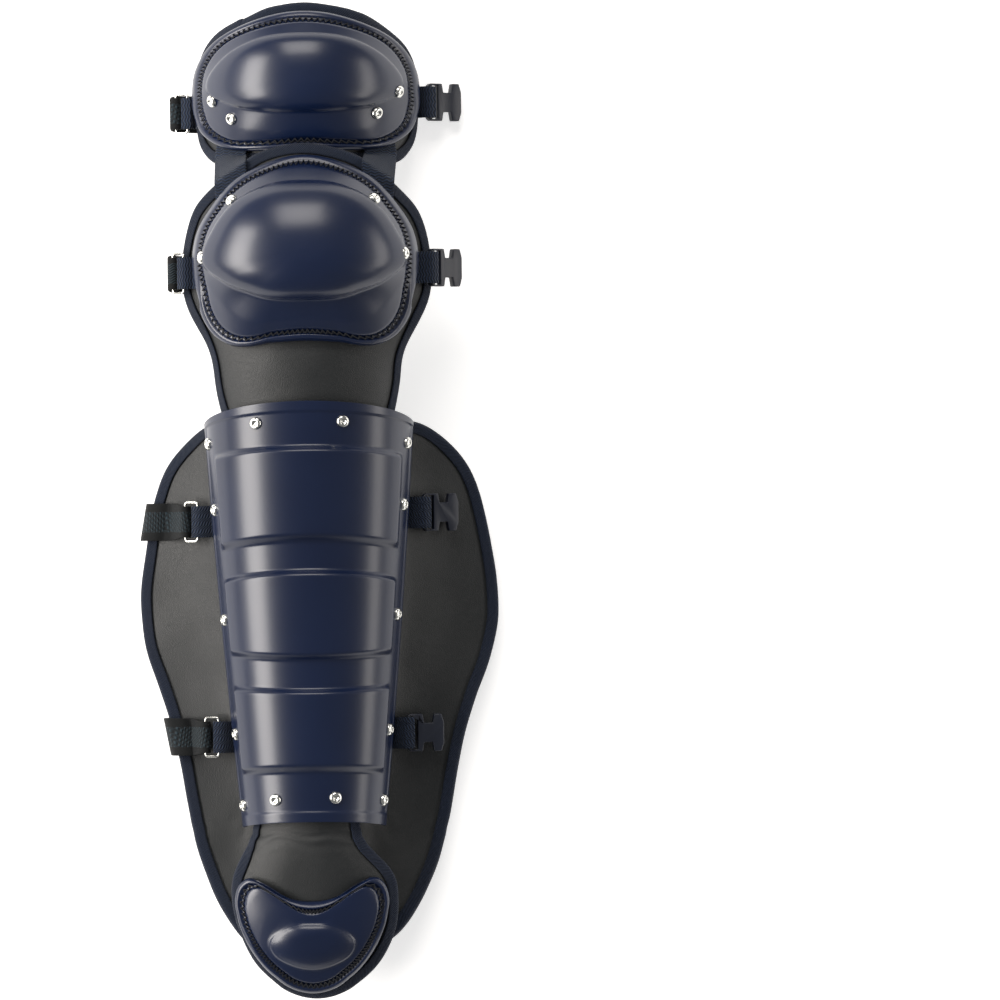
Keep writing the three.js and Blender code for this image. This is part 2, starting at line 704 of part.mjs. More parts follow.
const kneeHalf = (at) => KNEE_HALF * fromTable(KNEE_ROWS, at, "half");
const thighHalf = (at) => THIGH_HALF * fromTable(THIGH_ROWS, at, "half");
const footHalf = (at, side) => FOOT_HALF * fromTable(FOOT_ROWS, at, side < 0 ? "left" : "right");

const kneeFront = rowFront(KNEE_ROWS, KNEE_TOP_Y, KNEE_PAD_LENGTH, kneeHalf, kneeHeight);
const thighFront = rowFront(THIGH_ROWS, THIGH_TOP_Y, THIGH_LENGTH, thighHalf, thighHeight);
const footFront = rowFront(FOOT_ROWS, FOOT_TOP_Y, FOOT_LENGTH, footHalf, footHeight);

// Caps

// Radius of a smooth closed outline by angle from +Y, from the points of its right half
function polar(points) {
  const left = points.slice(1, -1).reverse().map(([x, y]) => [-x, y]);
  const corners = [...points, ...left].map(([x, y]) => new THREE.Vector3(x, y, 0));
  const curve = new THREE.CatmullRomCurve3(corners, true, "centripetal");
  const samples = curve.getPoints(240).map((p) => ({ at: Math.atan2(p.x, p.y), r: Math.hypot(p.x, p.y) }));
  samples.pop();
  samples.sort((a, b) => a.at - b.at);
  const first = samples[0];
  const last = samples[samples.length - 1];
  samples.unshift({ at: last.at - 2 * Math.PI, r: last.r });
  samples.push({ at: first.at + 2 * Math.PI, r: first.r });
  return (angle) => plainFromTable(samples, angle, "r");
}

function surfaceNormal(height, x, y) {
  const step = 0.5;
  const slopeX = (height(x + step, y) - height(x - step, y)) / (2 * step);
  const slopeY = (height(x, y + step) - height(x, y - step)) / (2 * step);
  return new THREE.Vector3(-slopeX, -slopeY, 1).normalize();
}

// A hard cap over a pad: a domed form inside a flange
function capOver(height, size, outline, form, rings) {
  const edge = polar(outline);
  const inner = polar(form);
  const point = (ring, angle, above) => {
    const low = Math.floor(Math.min(ring, rings.length - 1e-6));
    const u = ring - low;
    const radiusAt = (i) => {
      if (i === 0) return 0;
      const row = rings[i - 1];
      return row.size * mix(inner(angle), edge(angle), row.blend);
    };
    const riseAt = (i) => (i === 0 ? 1 : rings[i - 1].rise);
    const radius = mix(radiusAt(low), radiusAt(low + 1), u);
    const rise = size.dome * mix(riseAt(low), riseAt(low + 1), u);
    const x = size.x + size.half * radius * Math.sin(angle);
    const y = size.y + size.halfHeight * radius * Math.cos(angle);
    const normal = surfaceNormal(height, x, y);
    return new THREE.Vector3(x, y, height(x, y) + rise).addScaledVector(normal, CAP_SEAT + above);
  };
  const count = rings.length;
  const shape = (spokes) =>
    disc(count, spokes, (ring, angle, isFront) => point(Math.min(ring, count), angle, isFront ? CAP_WALL : 0));
  // The ring number and angle of a place given in shares of the half sizes
  const find = (x, y) => {
    const angle = Math.atan2(x, y);
    const radius = Math.hypot(x, y);
    for (let ring = 0; ring < count; ring += 0.02) {
      const p = point(ring, angle, 0);
      const here = Math.hypot((p.x - size.x) / size.half, (p.y - size.y) / size.halfHeight);
      if (here >= radius) return { ring, angle };
    }
    return { ring: count - 0.5, angle };
  };
  return { point, shape, find };
}

const kneeCap = capOver(
  kneeHeight,
  { x: 0, y: KNEE_CAP_Y, half: KNEE_CAP_HALF, halfHeight: KNEE_CAP_HALF_HEIGHT, dome: KNEE_CAP_DOME },
  KNEE_CAP_OUTLINE,
  KNEE_ALMOND,
  KNEE_CAP_RINGS,
);
const thighCap = capOver(
  thighHeight,
  { x: 0, y: THIGH_CAP_Y, half: THIGH_CAP_HALF, halfHeight: THIGH_CAP_HALF_HEIGHT, dome: THIGH_CAP_DOME },
  THIGH_CAP_OUTLINE,
  THIGH_ALMOND,
  THIGH_CAP_RINGS,
);
const footCap = capOver(
  footHeight,
  { x: FOOT_CAP_X, y: FOOT_CAP_Y, half: FOOT_CAP_HALF, halfHeight: FOOT_CAP_HALF_HEIGHT, dome: FOOT_CAP_DOME },
  FOOT_CAP_OUTLINE,
  FOOT_OVAL,
  FOOT_CAP_RINGS,
);

// A soft cushion under a pad, thinning to its edge
function cushionUnder(height, size, outline) {
  const edge = polar(outline);
  const rings = [0, 0.5, 0.85, 1];
  const fullness = [1, 0.94, 0.7, 0.3];
  return disc(rings.length - 1, 16, (ring, angle, isFront) => {
    const x = size.half * rings[ring] * edge(angle) * Math.sin(angle);
    const y = size.y + size.halfHeight * rings[ring] * edge(angle) * Math.cos(angle);
    const normal = surfaceNormal(height, x, y);
    const depth = PAD_THICK + CLEAR + 2.5 * FACET_ROOM + (isFront ? 0 : size.thick * fullness[ring]);
    return new THREE.Vector3(x, y, height(x, y)).addScaledVector(normal, -depth);
  });
}

// Rivets

const rivetProfile = [
  new THREE.Vector2(0, 0),
  new THREE.Vector2(RIVET_RADIUS, 0),
  new THREE.Vector2(RIVET_RADIUS * 0.8, RIVET_HEIGHT),
  new THREE.Vector2(0, RIVET_HEIGHT),
];

function addRivet(name, seat, normal) {
  const mesh = add(name, moulded(new THREE.LatheGeometry(rivetProfile, 8), (p) => p), BRIGHT_NICKEL);
  mesh.quaternion.setFromUnitVectors(new THREE.Vector3(0, 1, 0), normal);
  mesh.position.copy(seat).addScaledVector(normal, CLEAR);
}

function addCapRivets(prefix, cap, places) {
  places.forEach((place, i) => {
    const { ring, angle } = cap.find(place.x, place.y);
    const step = 0.05;
    const seat = cap.point(ring, angle, CAP_WALL);
    const out = cap.point(ring + step, angle, CAP_WALL).sub(cap.point(ring - step, angle, CAP_WALL));
    const round = cap.point(ring, angle + step, CAP_WALL).sub(cap.point(ring, angle - step, CAP_WALL));
    addRivet(`${prefix}_rivet_${i + 1}`, seat, round.cross(out).normalize());
  });
}

// Strips of webbing and elastic

// A flat strip whose width runs along Y and whose path is told for each y
function stripShape(pathAt, side, y, width, thick, narrow = { rows: 0, share: 1 }) {
  const across = [-0.5, 0.5];
  const paths = across.map((share) => pathAt(y + share * width).map((p) => new THREE.Vector2(p.x, p.z)));
  const rows = paths[0].map((p, i) => i);
  return slab(across, rows, (share, i, isFront) => {
    const points = paths[across.indexOf(share)];
    const before = points[Math.max(0, i - 1)];
    const after = points[Math.min(points.length - 1, i + 1)];
    const along = after.clone().sub(before).normalize();
    const shift = isFront ? thick / 2 : -thick / 2;
    const x = points[i].x - along.y * shift;
    const z = points[i].y + along.x * shift;
    const widthHere = width * (i < narrow.rows ? narrow.share : 1);
    return new THREE.Vector3(side * x, y + share * widthHere, z);
  });
}

// The section of a pad at one y, walked from its crown to its edge
function sectionLine(curve) {
  const points = even(120).map((share) => curve(share));
  const lengths = [0];
  for (let i = 1; i < points.length; i += 1) {
    lengths.push(lengths[i - 1] + points[i].distanceTo(points[i - 1]));
  }
  const total = lengths[lengths.length - 1];
  const table = points.map((p, i) => ({ at: lengths[i], x: p.x, z: p.y }));
  // A place at a distance from the crown and a height over the face
  const place = (distance, above) => {
    const x = plainFromTable(table, distance, "x");
    const z = plainFromTable(table, distance, "z");
    const step = 1;
    const from = clamp(distance, step, total - step);
    const alongX = plainFromTable(table, from + step, "x") - plainFromTable(table, from - step, "x");
    const alongZ = plainFromTable(table, from + step, "z") - plainFromTable(table, from - step, "z");
    const size = Math.hypot(alongX, alongZ);
    const beyond = Math.max(0, distance - total);
    return {
      x: x + (beyond * alongX) / size - (above * alongZ) / size,
      z: z + (beyond * alongZ) / size + (above * alongX) / size,
    };
  };
  const distanceAtX = (x) => plainFromTable(table, x, "at", "x");
  return { total, place, distanceAtX };
}

// A frame that leaves a hard edge at a slope: u runs out, v stands off
function hangFrame(start, droop) {
  const angle = radians(droop);
  return {
    at: (u, v) => ({
      x: start.x + u * Math.cos(angle) + v * Math.sin(angle),
      z: start.z - u * Math.sin(angle) + v * Math.cos(angle),
    }),
  };
}

// Webbing that comes from under a hard edge and hooks over a bar
function hookPath(line, edge, frame, bar) {
  const over = bar.half + CLEAR + FACET_ROOM / 2 + WEB_THICK / 2;
  return [
    line.place(edge - 9, WEB_LOW),
    line.place(edge - 4, WEB_LOW),
    line.place(edge, WEB_LOW),
    frame.at(bar.u - over * 1.15, bar.v + bar.rise * 0.9),
    frame.at(bar.u, bar.v + bar.rise),
    frame.at(bar.u + over * 0.9, bar.v + bar.rise * 0.88),
    frame.at(bar.u + over, bar.v + bar.rise * 0.2),
    frame.at(bar.u + over, bar.v - bar.rise * 0.5),
  ];
}

function buckleShape() {
  const half = BUCKLE_WIDTH / 2;
  const waist = half * 0.52;
  const block = BUCKLE_LENGTH * 0.42;
  const tongue = BUCKLE_LENGTH * 0.69;
  const chamfer = BUCKLE_WIDTH * 0.07;
  const shape = new THREE.Shape();
  const corners = [
    [0, half - chamfer], [chamfer, half], [block, half], [block + chamfer * 0.6, waist], [tongue, waist],
    [tongue + chamfer * 0.6, half], [BUCKLE_LENGTH - chamfer, half], [BUCKLE_LENGTH, half * 0.55],
  ];
  const outline = [...corners, ...corners.map(([x, y]) => [x, -y]).reverse()];
  outline.forEach(([x, y], i) => (i === 0 ? shape.moveTo(x, y) : shape.lineTo(x, y)));
  shape.closePath();
  const slotHalf = TAB_WIDTH / 2 + 4 * CLEAR - 0.8;
  const slotEnd = BUCKLE_BAR + BUCKLE_SLOT;
  const slot = new THREE.Path();
  slot.moveTo(BUCKLE_BAR, slotHalf);
  slot.lineTo(BUCKLE_BAR, -slotHalf);
  slot.lineTo(slotEnd, -slotHalf);
  slot.lineTo(slotEnd, slotHalf);
  slot.closePath();
  shape.holes.push(slot);
  return new THREE.ExtrudeGeometry(shape, { depth: BUCKLE_THICK, bevelEnabled: false });
}

// Wire bent to a long loop, its length along Y, lying in the frame's slope
function ringShape(frame, u, v, side, y) {
  const torus = new THREE.TorusGeometry(2, 1, 4, 12);
  const sign = (value) => (Math.abs(value) < 1e-6 ? 0 : Math.sign(value));
  return moulded(torus, (p) => {
    const turn = Math.atan2(p.y, p.x);
    const tilt = Math.atan2(p.z, Math.hypot(p.x, p.y) - 2);
    const out = RING_CORNER + RING_WIRE * Math.cos(tilt);
    const outward = out * Math.cos(turn) + sign(Math.cos(turn)) * (RING_GAP / 2 - RING_CORNER);
    const sideways = out * Math.sin(turn) + sign(Math.sin(turn)) * (RING_LENGTH / 2 - RING_WIRE - RING_CORNER);
    const place = frame.at(u + outward, v + RING_WIRE * Math.sin(tilt));
    return new THREE.Vector3(side * place.x, y + sideways, place.z);
  });
}

// The elastic: round the ring's outer wire, over the pad's edge and back under it
function elasticPath(line, frame, wire, spec) {
  const wrap = RING_WIRE + CLEAR + FACET_ROOM / 2 + WEB_THICK / 2;
  const over = WEB_LOW + TAPE_STAND + FACET_ROOM;
  const under = -PAD_THICK - over - 2 * FACET_ROOM;
  const middle = (over + under) / 2;
  const tall = (over - under) / 2;
  const start = line.distanceAtX(frame.at(wire.u, wire.v).x) + 2 * wrap;
  const lip = line.total - TAPE_LIP;
  const onPad = [
    [start + 3, WEB_LOW + FACET_ROOM],
    [mix(start + 3, lip - 4, 0.35), WEB_LOW],
    [mix(start + 3, lip - 4, 0.7), WEB_LOW],
    [lip - 4, WEB_LOW],
    [lip, over],
    [line.total, over],
  ];
  const turned = (spec.reachesPad ? [65, 35, 0, -35, -65] : [-5, -35, -65]).map((degrees) => {
    const angle = radians(degrees);
    return line.place(line.total + spec.overhang * Math.cos(angle), middle + tall * Math.sin(angle));
  });
  return [
    frame.at(wire.u - wrap * 0.8, wire.v - wrap * 0.7),
    frame.at(wire.u - wrap, wire.v),
    frame.at(wire.u - wrap * 0.72, wire.v + wrap * 0.72),
    frame.at(wire.u, wire.v + wrap),
    frame.at(wire.u + wrap * 0.9, wire.v + wrap * 0.8),
    ...(spec.reachesPad
      ? onPad.map(([distance, above]) => line.place(distance, above))
      : [frame.at(wire.u + wrap * 1.2, wire.v - wrap * 0.4)]),
    ...turned,
    line.place(line.total, under),
    ...[0, 0.5, 1].map((share) => line.place(lip - spec.under * share, under)),
  ];
}

function addLeft(name, lineAt, edgeXAt, y, spec) {
  const line = lineAt(y);
  const edgeOf = (local, at) => local.distanceAtX(edgeXAt(at)) + spec.past;
  const frame = hangFrame(line.place(edgeOf(line, y), WEB_LOW), spec.droop);
  const tabBar = { u: spec.tab, v: spec.stand, half: RING_WIRE };
  tabBar.rise = RING_WIRE + CLEAR + FACET_ROOM / 2 + WEB_THICK / 2;
  const tabPath = (at) => hookPath(lineAt(at), edgeOf(lineAt(at), at), frame, tabBar);
  add(`${name}_tab`, stripShape(tabPath, -1, y, TAB_WIDTH, WEB_THICK), NAVY_TAPE);
  add(`${name}_ring`, ringShape(frame, spec.tab + RING_GAP / 2, spec.stand, -1, y), BRIGHT_NICKEL);
  const wire = { u: spec.tab + RING_GAP, v: spec.stand };
  const strapPath = (at) => elasticPath(lineAt(at), frame, wire, spec);
  const throughRing = { rows: 5, share: TAB_WIDTH / STRAP_WIDTH };
  add(`${name}_strap`, stripShape(strapPath, -1, y, STRAP_WIDTH, WEB_THICK, throughRing), ELASTIC);
}

function addRight(name, lineAt, edgeXAt, y, spec) {
  const line = lineAt(y);
  const edgeOf = (local, at) => local.distanceAtX(edgeXAt(at)) + spec.past;
  const frame = hangFrame(line.place(edgeOf(line, y), WEB_LOW), spec.droop);
  const bar = { u: spec.web + BUCKLE_BAR / 2, v: spec.stand, half: BUCKLE_BAR / 2 };
  bar.rise = BUCKLE_THICK / 2 + CLEAR + FACET_ROOM / 2 + WEB_THICK / 2;
  const webPath = (at) => hookPath(lineAt(at), edgeOf(lineAt(at), at), frame, bar);
  add(`${name}_buckle_web`, stripShape(webPath, 1, y, TAB_WIDTH, WEB_THICK), NAVY_TAPE);
  const buckle = moulded(buckleShape(), (p) => {
    const place = frame.at(spec.web + p.x, spec.stand + p.z - BUCKLE_THICK / 2);
    return new THREE.Vector3(place.x, y + p.y, place.z);
  });
  add(`${name}_buckle`, buckle, BLACK_PLASTIC);
}

// The pieces, from thigh to foot

const thighAcross = mirrored([0.25, 0.48, 0.7, 0.87, 1]);
const thighAlong = THIGH_ROWS.map((row) => row.at);
add("thigh_pad", padShape(thighFront, thighAcross, thighAlong), DARK_LEATHER);
add("thigh_binding", bindingShape(thighFront, thighAcross, thighAlong), NAVY_TAPE);
add("thigh_cap", thighCap.shape(20), NAVY_GLOSS);
addCapRivets("thigh", thighCap, THIGH_RIVETS);
const thighCushionSize = {
  half: THIGH_CUSHION_HALF,
  halfHeight: THIGH_CUSHION_HALF_HEIGHT,
  y: THIGH_CUSHION_Y,
  thick: THIGH_CUSHION_THICK,
};
add("thigh_cushion", cushionUnder(thighHeight, thighCushionSize, HALF_MOON_OUTLINE), BLACK_CLOTH);

const kneeAcross = mirrored([0.25, 0.48, 0.7, 0.87, 1]);
const kneeAlong = KNEE_ROWS.map((row) => row.at).filter((at) => at !== 0.27 && at !== 0.83);
add("knee_pad", padShape(kneeFront, kneeAcross, kneeAlong), DARK_LEATHER);
add("knee_binding", bindingShape(kneeFront, kneeAcross, kneeAlong), NAVY_TAPE);
add("knee_cap", kneeCap.shape(20), NAVY_GLOSS);
addCapRivets("knee", kneeCap, KNEE_RIVETS);
const kneeCushionSize = {
  half: KNEE_CUSHION_HALF,
  halfHeight: KNEE_CUSHION_HALF_HEIGHT,
  y: KNEE_CUSHION_Y,
  thick: KNEE_CUSHION_THICK,
};
add("knee_cushion", cushionUnder(kneeHeight, kneeCushionSize, ROUND_OUTLINE), BLACK_CLOTH);

const shinAcross = mirrored(SHIN_COLUMNS.map((row) => row.column));
const shinAlong = [0, 0.04, 0.09, 0.16, 0.25, 0.34, 0.43, 0.52, 0.61, 0.7, 0.8, 0.9, 1];
add("shin_pad", padShape(shinFront, shinAcross, shinAlong), DARK_LEATHER);
add("shin_binding", bindingShape(shinFront, shinAcross, shinAlong), NAVY_TAPE);
add("shin_shell", shellShape(), NAVY_GLOSS);
SHIN_RIVETS.forEach((place, i) => {
  const seat = shellPoint(place.at, place.turn, 0);
  const step = 1;
  const round = shellPoint(place.at, place.turn + step, 0).sub(shellPoint(place.at, place.turn - step, 0));
  const down = shellPoint(place.at + 0.01, place.turn, 0).sub(seat);
  addRivet(`shin_rivet_${i + 1}`, seat, down.cross(round).normalize());
});

const footAcross = mirrored([0.25, 0.5, 0.75, 0.9, 1]);
const footAlong = FOOT_ROWS.map((row) => row.at);
add("foot_pad", padShape(footFront, footAcross, footAlong), DARK_LEATHER);
add("foot_binding", bindingShape(footFront, footAcross, footAlong), NAVY_TAPE);
add("foot_cap", footCap.shape(18), NAVY_GLOSS);

// Links between thigh and knee
const linkTop = THIGH_CAP_Y - THIGH_CAP_HALF_HEIGHT * 0.42;
const linkFoot = KNEE_CAP_Y + KNEE_CAP_HALF_HEIGHT * 0.45;
const thighFootY = THIGH_TOP_Y - THIGH_LENGTH;
const linkOver = WEB_LOW + TAPE_STAND;

// Where the rim of the knee pad crosses one x above the knee
function kneeRimY(x) {
  if (x <= kneeHalf(0)) return kneeFront(x / kneeHalf(0), 0).y;
  const at = even(300, 0, 0.3).find((share) => kneeHalf(share) >= x);
  return kneeFront(1, at).y;
}

for (const [side, word] of [[-1, "left"], [1, "right"]]) {
  const stopsAt = (x) => [
    [linkTop, thighHeight, WEB_LOW],
    [mix(linkTop, thighFootY + TAPE_LIP, 0.7), thighHeight, WEB_LOW],
    [thighFootY + TAPE_LIP, thighHeight, WEB_LOW],
    [thighFootY, thighHeight, linkOver],
    [thighFootY - TAPE_STAND, thighHeight, linkOver],
    [kneeRimY(x) + TAPE_STAND, kneeHeight, linkOver + FACET_ROOM],
    [kneeRimY(x), kneeHeight, linkOver + FACET_ROOM],
    [kneeRimY(x) - TAPE_LIP, kneeHeight, WEB_LOW + FACET_ROOM],
    [kneeRimY(x) - 2 * TAPE_LIP, kneeHeight, WEB_LOW],
    [linkFoot, kneeHeight, WEB_LOW],
  ];
  const stops = stopsAt(LINK_X);
  const rows = stops.map((stop, i) => i);
  const shape = slab(even(2, -0.5, 0.5), rows, (across, i, isFront) => {
    const x = side * (LINK_X + across * LINK_WIDTH);
    const [y, height, above] = stopsAt(Math.abs(x))[i];
    const normal = surfaceNormal(height, x, y);
    const shift = above + (isFront ? WEB_THICK / 2 : -WEB_THICK / 2);
    return new THREE.Vector3(x, y, height(x, y)).addScaledVector(normal, shift);
  });
  add(`link_${word}`, shape, NAVY_TAPE);
}

// Straps on the left and buckles on the right

const SHIN_HANG = { stand: 3, tab: 9, web: 8, past: 0, overhang: 7, under: 26, reachesPad: true };
const KNEE_HANG = { droop: 36, stand: 2, tab: 6, web: 7, past: 3, overhang: 15, under: 9, reachesPad: false };
const THIGH_HANG = { droop: 28, stand: 3.2, tab: 4, web: 5, past: 4, overhang: 12, under: 8, reachesPad: false };

function addPair(station, hang, yOf, lineOf, edgeXOf) {
  for (const [side, addSide] of [["left", addLeft], ["right", addRight]]) {
    addSide(station.name, (y) => lineOf(y, side), edgeXOf, yOf(station[side]), hang);
  }
}

for (const station of SHIN_STATIONS) {
  addPair(
    station,
    { ...SHIN_HANG, droop: station.droop },
    (share) => SHELL_TOP_Y - share * SHELL_LENGTH,
    (y, side) => sectionLine((column) => shinCurve(y, column, side === "left" ? LEFT_REACH : RIGHT_REACH)),
    (y) => shellPoint(shellShare(y), SHELL_EDGE_TURN, 0).x,
  );
}

function archLine(height, half, y) {
  return sectionLine((share) => new THREE.Vector2(share * half, height(share * half, y)));
}

addPair(
  KNEE_STATION,
  KNEE_HANG,
  (share) => KNEE_CAP_Y + share * KNEE_CAP_HALF_HEIGHT,
  (y) => archLine(kneeHeight, kneeHalf((KNEE_TOP_Y - y) / KNEE_PAD_LENGTH), y),
  () => KNEE_CAP_HALF,
);

addPair(
  THIGH_STATION,
  THIGH_HANG,
  (share) => THIGH_CAP_Y + share * THIGH_CAP_HALF_HEIGHT,
  (y) => archLine(thighHeight, thighHalf((THIGH_TOP_Y - y) / THIGH_LENGTH), y),
  () => THIGH_CAP_HALF,
);

// The origin: middle of the footprint, on the surface that the guard lies on
group.updateMatrixWorld(true);
const bounds = new THREE.Box3().setFromObject(group, true);
const middle = bounds.getCenter(new THREE.Vector3());
group.position.set(-middle.x, -middle.y, -bounds.min.z);

export default group;
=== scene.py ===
# %% [markdown]
# A catcher's leg guard lies on its back on a pale table, front up. Hard navy caps cover the thigh, the
# knee, the shin and the foot. Under them lie soft pads edged with woven tape, with elastic straps on
# the left and hook buckles on the right. This lesson dresses the measured frame of that guard, piece by
# piece, so every size here is either read from the frame or named once in millimetres.

# %% The frame
import heapq
import math

import bmesh
import bpy
from mathutils import Matrix, Vector, noise
from mathutils.bvhtree import BVHTree
from mathutils.kdtree import KDTree


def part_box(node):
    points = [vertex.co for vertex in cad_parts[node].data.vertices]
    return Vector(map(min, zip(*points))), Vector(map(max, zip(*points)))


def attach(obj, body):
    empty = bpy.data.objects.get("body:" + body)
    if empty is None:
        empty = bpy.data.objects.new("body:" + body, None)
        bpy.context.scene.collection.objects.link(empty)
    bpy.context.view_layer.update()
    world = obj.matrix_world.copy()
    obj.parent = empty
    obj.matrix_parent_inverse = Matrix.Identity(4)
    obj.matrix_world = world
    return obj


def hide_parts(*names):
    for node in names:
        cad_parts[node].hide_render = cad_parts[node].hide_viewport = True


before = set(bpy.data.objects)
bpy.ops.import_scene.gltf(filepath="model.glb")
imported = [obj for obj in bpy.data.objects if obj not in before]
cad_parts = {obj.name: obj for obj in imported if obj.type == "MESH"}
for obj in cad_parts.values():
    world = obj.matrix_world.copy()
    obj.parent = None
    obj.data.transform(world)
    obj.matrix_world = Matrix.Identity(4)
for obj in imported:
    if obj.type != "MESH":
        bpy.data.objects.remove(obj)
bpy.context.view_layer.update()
MM = 0.001
print("solids in the frame:", len(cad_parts))

# %% [markdown]
# The shin shell is half an oval tube that narrows towards the foot. Its formula places the shell, the
# pads that nest under it and its rivets, so it comes first. The frame was centred after it was built,
# so the shell's own highest point tells how far everything was shifted.

# %% The shell's formula
SHELL_TOP_Y = 66.7
SHELL_LENGTH = 284.0
SHELL_TOP_HALF = 70.3
SHELL_FOOT_HALF = 47.3
SHELL_TOP_RISE = 56.0
SHELL_FOOT_RISE = 38.0
SHELL_TOP_AXIS = 44.0
SHELL_FOOT_AXIS = 30.0
SHELL_BELLY = 1.5
SHELL_WALL = 3.0
SHELL_EDGE_TURN = 84.0
PANEL_RAISE = 4.5

SHELL_ROWS = [
    {"at": 0.0, "bow": 0.05, "raise": 0},
    {"at": 0.026, "bow": 0.036, "raise": 0},
    {"at": 0.099, "bow": 0.033, "raise": 0},
    {"at": 0.117, "bow": 0.033, "raise": 1},
    {"at": 0.305, "bow": 0.04, "raise": 1},
    {"at": 0.331, "bow": 0.031, "raise": 0},
    {"at": 0.387, "bow": 0.038, "raise": 0},
    {"at": 0.406, "bow": 0.033, "raise": 1},
    {"at": 0.585, "bow": -0.014, "raise": 1},
    {"at": 0.608, "bow": -0.019, "raise": 0},
    {"at": 0.667, "bow": -0.012, "raise": 0},
    {"at": 0.683, "bow": -0.009, "raise": 1},
    {"at": 0.845, "bow": 0.019, "raise": 1},
    {"at": 0.87, "bow": 0.008, "raise": 0},
    {"at": 0.953, "bow": 0.012, "raise": 0},
    {"at": 0.982, "bow": 0.017, "raise": 0},
]


def mix(a, b, share):
    return a + (b - a) * share


def clamp(value, low, high):
    return max(low, min(high, value))


def soft_step(share):
    share = clamp(share, 0.0, 1.0)
    return share * share * (3 - 2 * share)


def cell_of(table, at, by):
    i = 0
    while i < len(table) - 2 and table[i + 1][by] < at:
        i += 1
    share = clamp((at - table[i][by]) / (table[i + 1][by] - table[i][by]), 0.0, 1.0)
    return i, share


def plain_from(table, at, column, by="at"):
    i, share = cell_of(table, at, by)
    return mix(table[i][column], table[i + 1][column], share)


def smooth_from(table, at, column, by="at"):
    i, u = cell_of(table, at, by)
    a, b = table[i], table[i + 1]
    before, after = table[max(0, i - 1)], table[min(len(table) - 1, i + 2)]
    span = b[by] - a[by]
    slope_a = (b[column] - before[column]) / (b[by] - before[by]) * span
    slope_b = (after[column] - a[column]) / (after[by] - a[by]) * span
    return (
        (2 * u**3 - 3 * u**2 + 1) * a[column]
        + (u**3 - 2 * u**2 + u) * slope_a
        + (3 * u**2 - 2 * u**3) * b[column]
        + (u**3 - u**2) * slope_b
    )


def shell_share(y):
    return (SHELL_TOP_Y - y) / SHELL_LENGTH


def shell_size(share):
    kept = clamp(share, -0.1, 1.0)
    return {
        "half": mix(SHELL_TOP_HALF, SHELL_FOOT_HALF, kept) + 4 * SHELL_BELLY * kept * (1 - kept),
        "rise": mix(SHELL_TOP_RISE, SHELL_FOOT_RISE, kept),
        "axis": mix(SHELL_TOP_AXIS, SHELL_FOOT_AXIS, kept),
    }


def shell_point(share, turn, above):
    size = shell_size(share)
    angle = math.radians(turn)
    return Vector((
        (size["half"] + above) * math.sin(angle),
        SHELL_TOP_Y - share * SHELL_LENGTH,
        size["axis"] + (size["rise"] + above) * math.cos(angle),
    ))


shell_low, shell_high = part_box("shin_shell")
SHELL_PEAK = shell_point(SHELL_ROWS[3]["at"], 0, PANEL_RAISE)
SHIFT = Vector((
    (shell_low.x + shell_high.x) / 2 / MM,
    shell_high.y / MM - SHELL_TOP_Y,
    shell_high.z / MM - SHELL_PEAK.z,
))


def placed(point):
    return (point + SHIFT) * MM


print("shift of the frame in mm:", [round(value, 2) for value in SHIFT])

# %% [markdown]
# The camera hangs straight over the guard, a long way up with a long lens, as a catalogue camera does.
# The photo leaves room for a second guard on the right, so the camera's middle lies to the right of
# the guard, and the picture is turned by less than a degree.

# %% Camera
CAMERA_ABOVE = 4000.0
SHARP_HEIGHT = 50.0
PIXELS_PER_MM = 1.5
FRAME_PIXELS = 1000
SENSOR_MM = 36.0
CAMERA_RIGHT = 126.8
CAMERA_ROLL = math.radians(-0.7)

camera = bpy.data.objects.new("camera", bpy.data.cameras.new("camera"))
bpy.context.scene.collection.objects.link(camera)
camera.data.sensor_width = SENSOR_MM
camera.data.lens = SENSOR_MM * CAMERA_ABOVE / (FRAME_PIXELS / PIXELS_PER_MM)
camera.data.clip_end = 20.0
camera.location = ((CAMERA_RIGHT + SHIFT.x) * MM, 0.0, (CAMERA_ABOVE + SHARP_HEIGHT) * MM)
camera.rotation_euler = (0.0, 0.0, CAMERA_ROLL)
bpy.context.scene.camera = camera
print("lens in mm:", round(camera.data.lens, 1))

# %% [markdown]
# Four effects come back in several finishes: the grain of leather, the crossed threads of plain cloth,
# the zigzag ribs of tape, and the patchy tone of anything handled. Each is built once as a node group
# with named inputs, so that a finish only says how large and how strong it is.

# %% Node helpers


class Nodes:
    """A short way to add and join nodes in one tree."""

    def __init__(self, tree):
        self.tree = tree

    def add(self, kind, inputs=None, **settings):
        node = self.tree.nodes.new(kind)
        for name, value in settings.items():
            setattr(node, name, value)
        for name, value in (inputs or {}).items():
            self.feed(node.inputs[name], value)
        return node

    def feed(self, socket, value):
        if isinstance(value, bpy.types.NodeSocket):
            self.tree.links.new(value, socket)
        else:
            socket.default_value = value

    def math(self, operation, *values):
        node = self.tree.nodes.new("ShaderNodeMath")
        node.operation = operation
        for i, value in enumerate(values):
            self.feed(node.inputs[i], value)
        return node.outputs[0]

    def blend(self, share, a, b):
        node = self.tree.nodes.new("ShaderNodeMix")
        node.data_type = "RGBA"
        self.feed(node.inputs["Factor"], share)
        self.feed(node.inputs[6], a)
        self.feed(node.inputs[7], b)
        return node.outputs[2]


def effect(name, inputs, outputs):
    tree = bpy.data.node_groups.new(name, "ShaderNodeTree")
    for label, kind, value in inputs:
        socket = tree.interface.new_socket(label, in_out="INPUT", socket_type=kind)
        if value is not None:
            socket.default_value = value
    for label, kind in outputs:
        tree.interface.new_socket(label, in_out="OUTPUT", socket_type=kind)
    nodes = Nodes(tree)
    return tree, nodes, nodes.add("NodeGroupInput").outputs, nodes.add("NodeGroupOutput").inputs


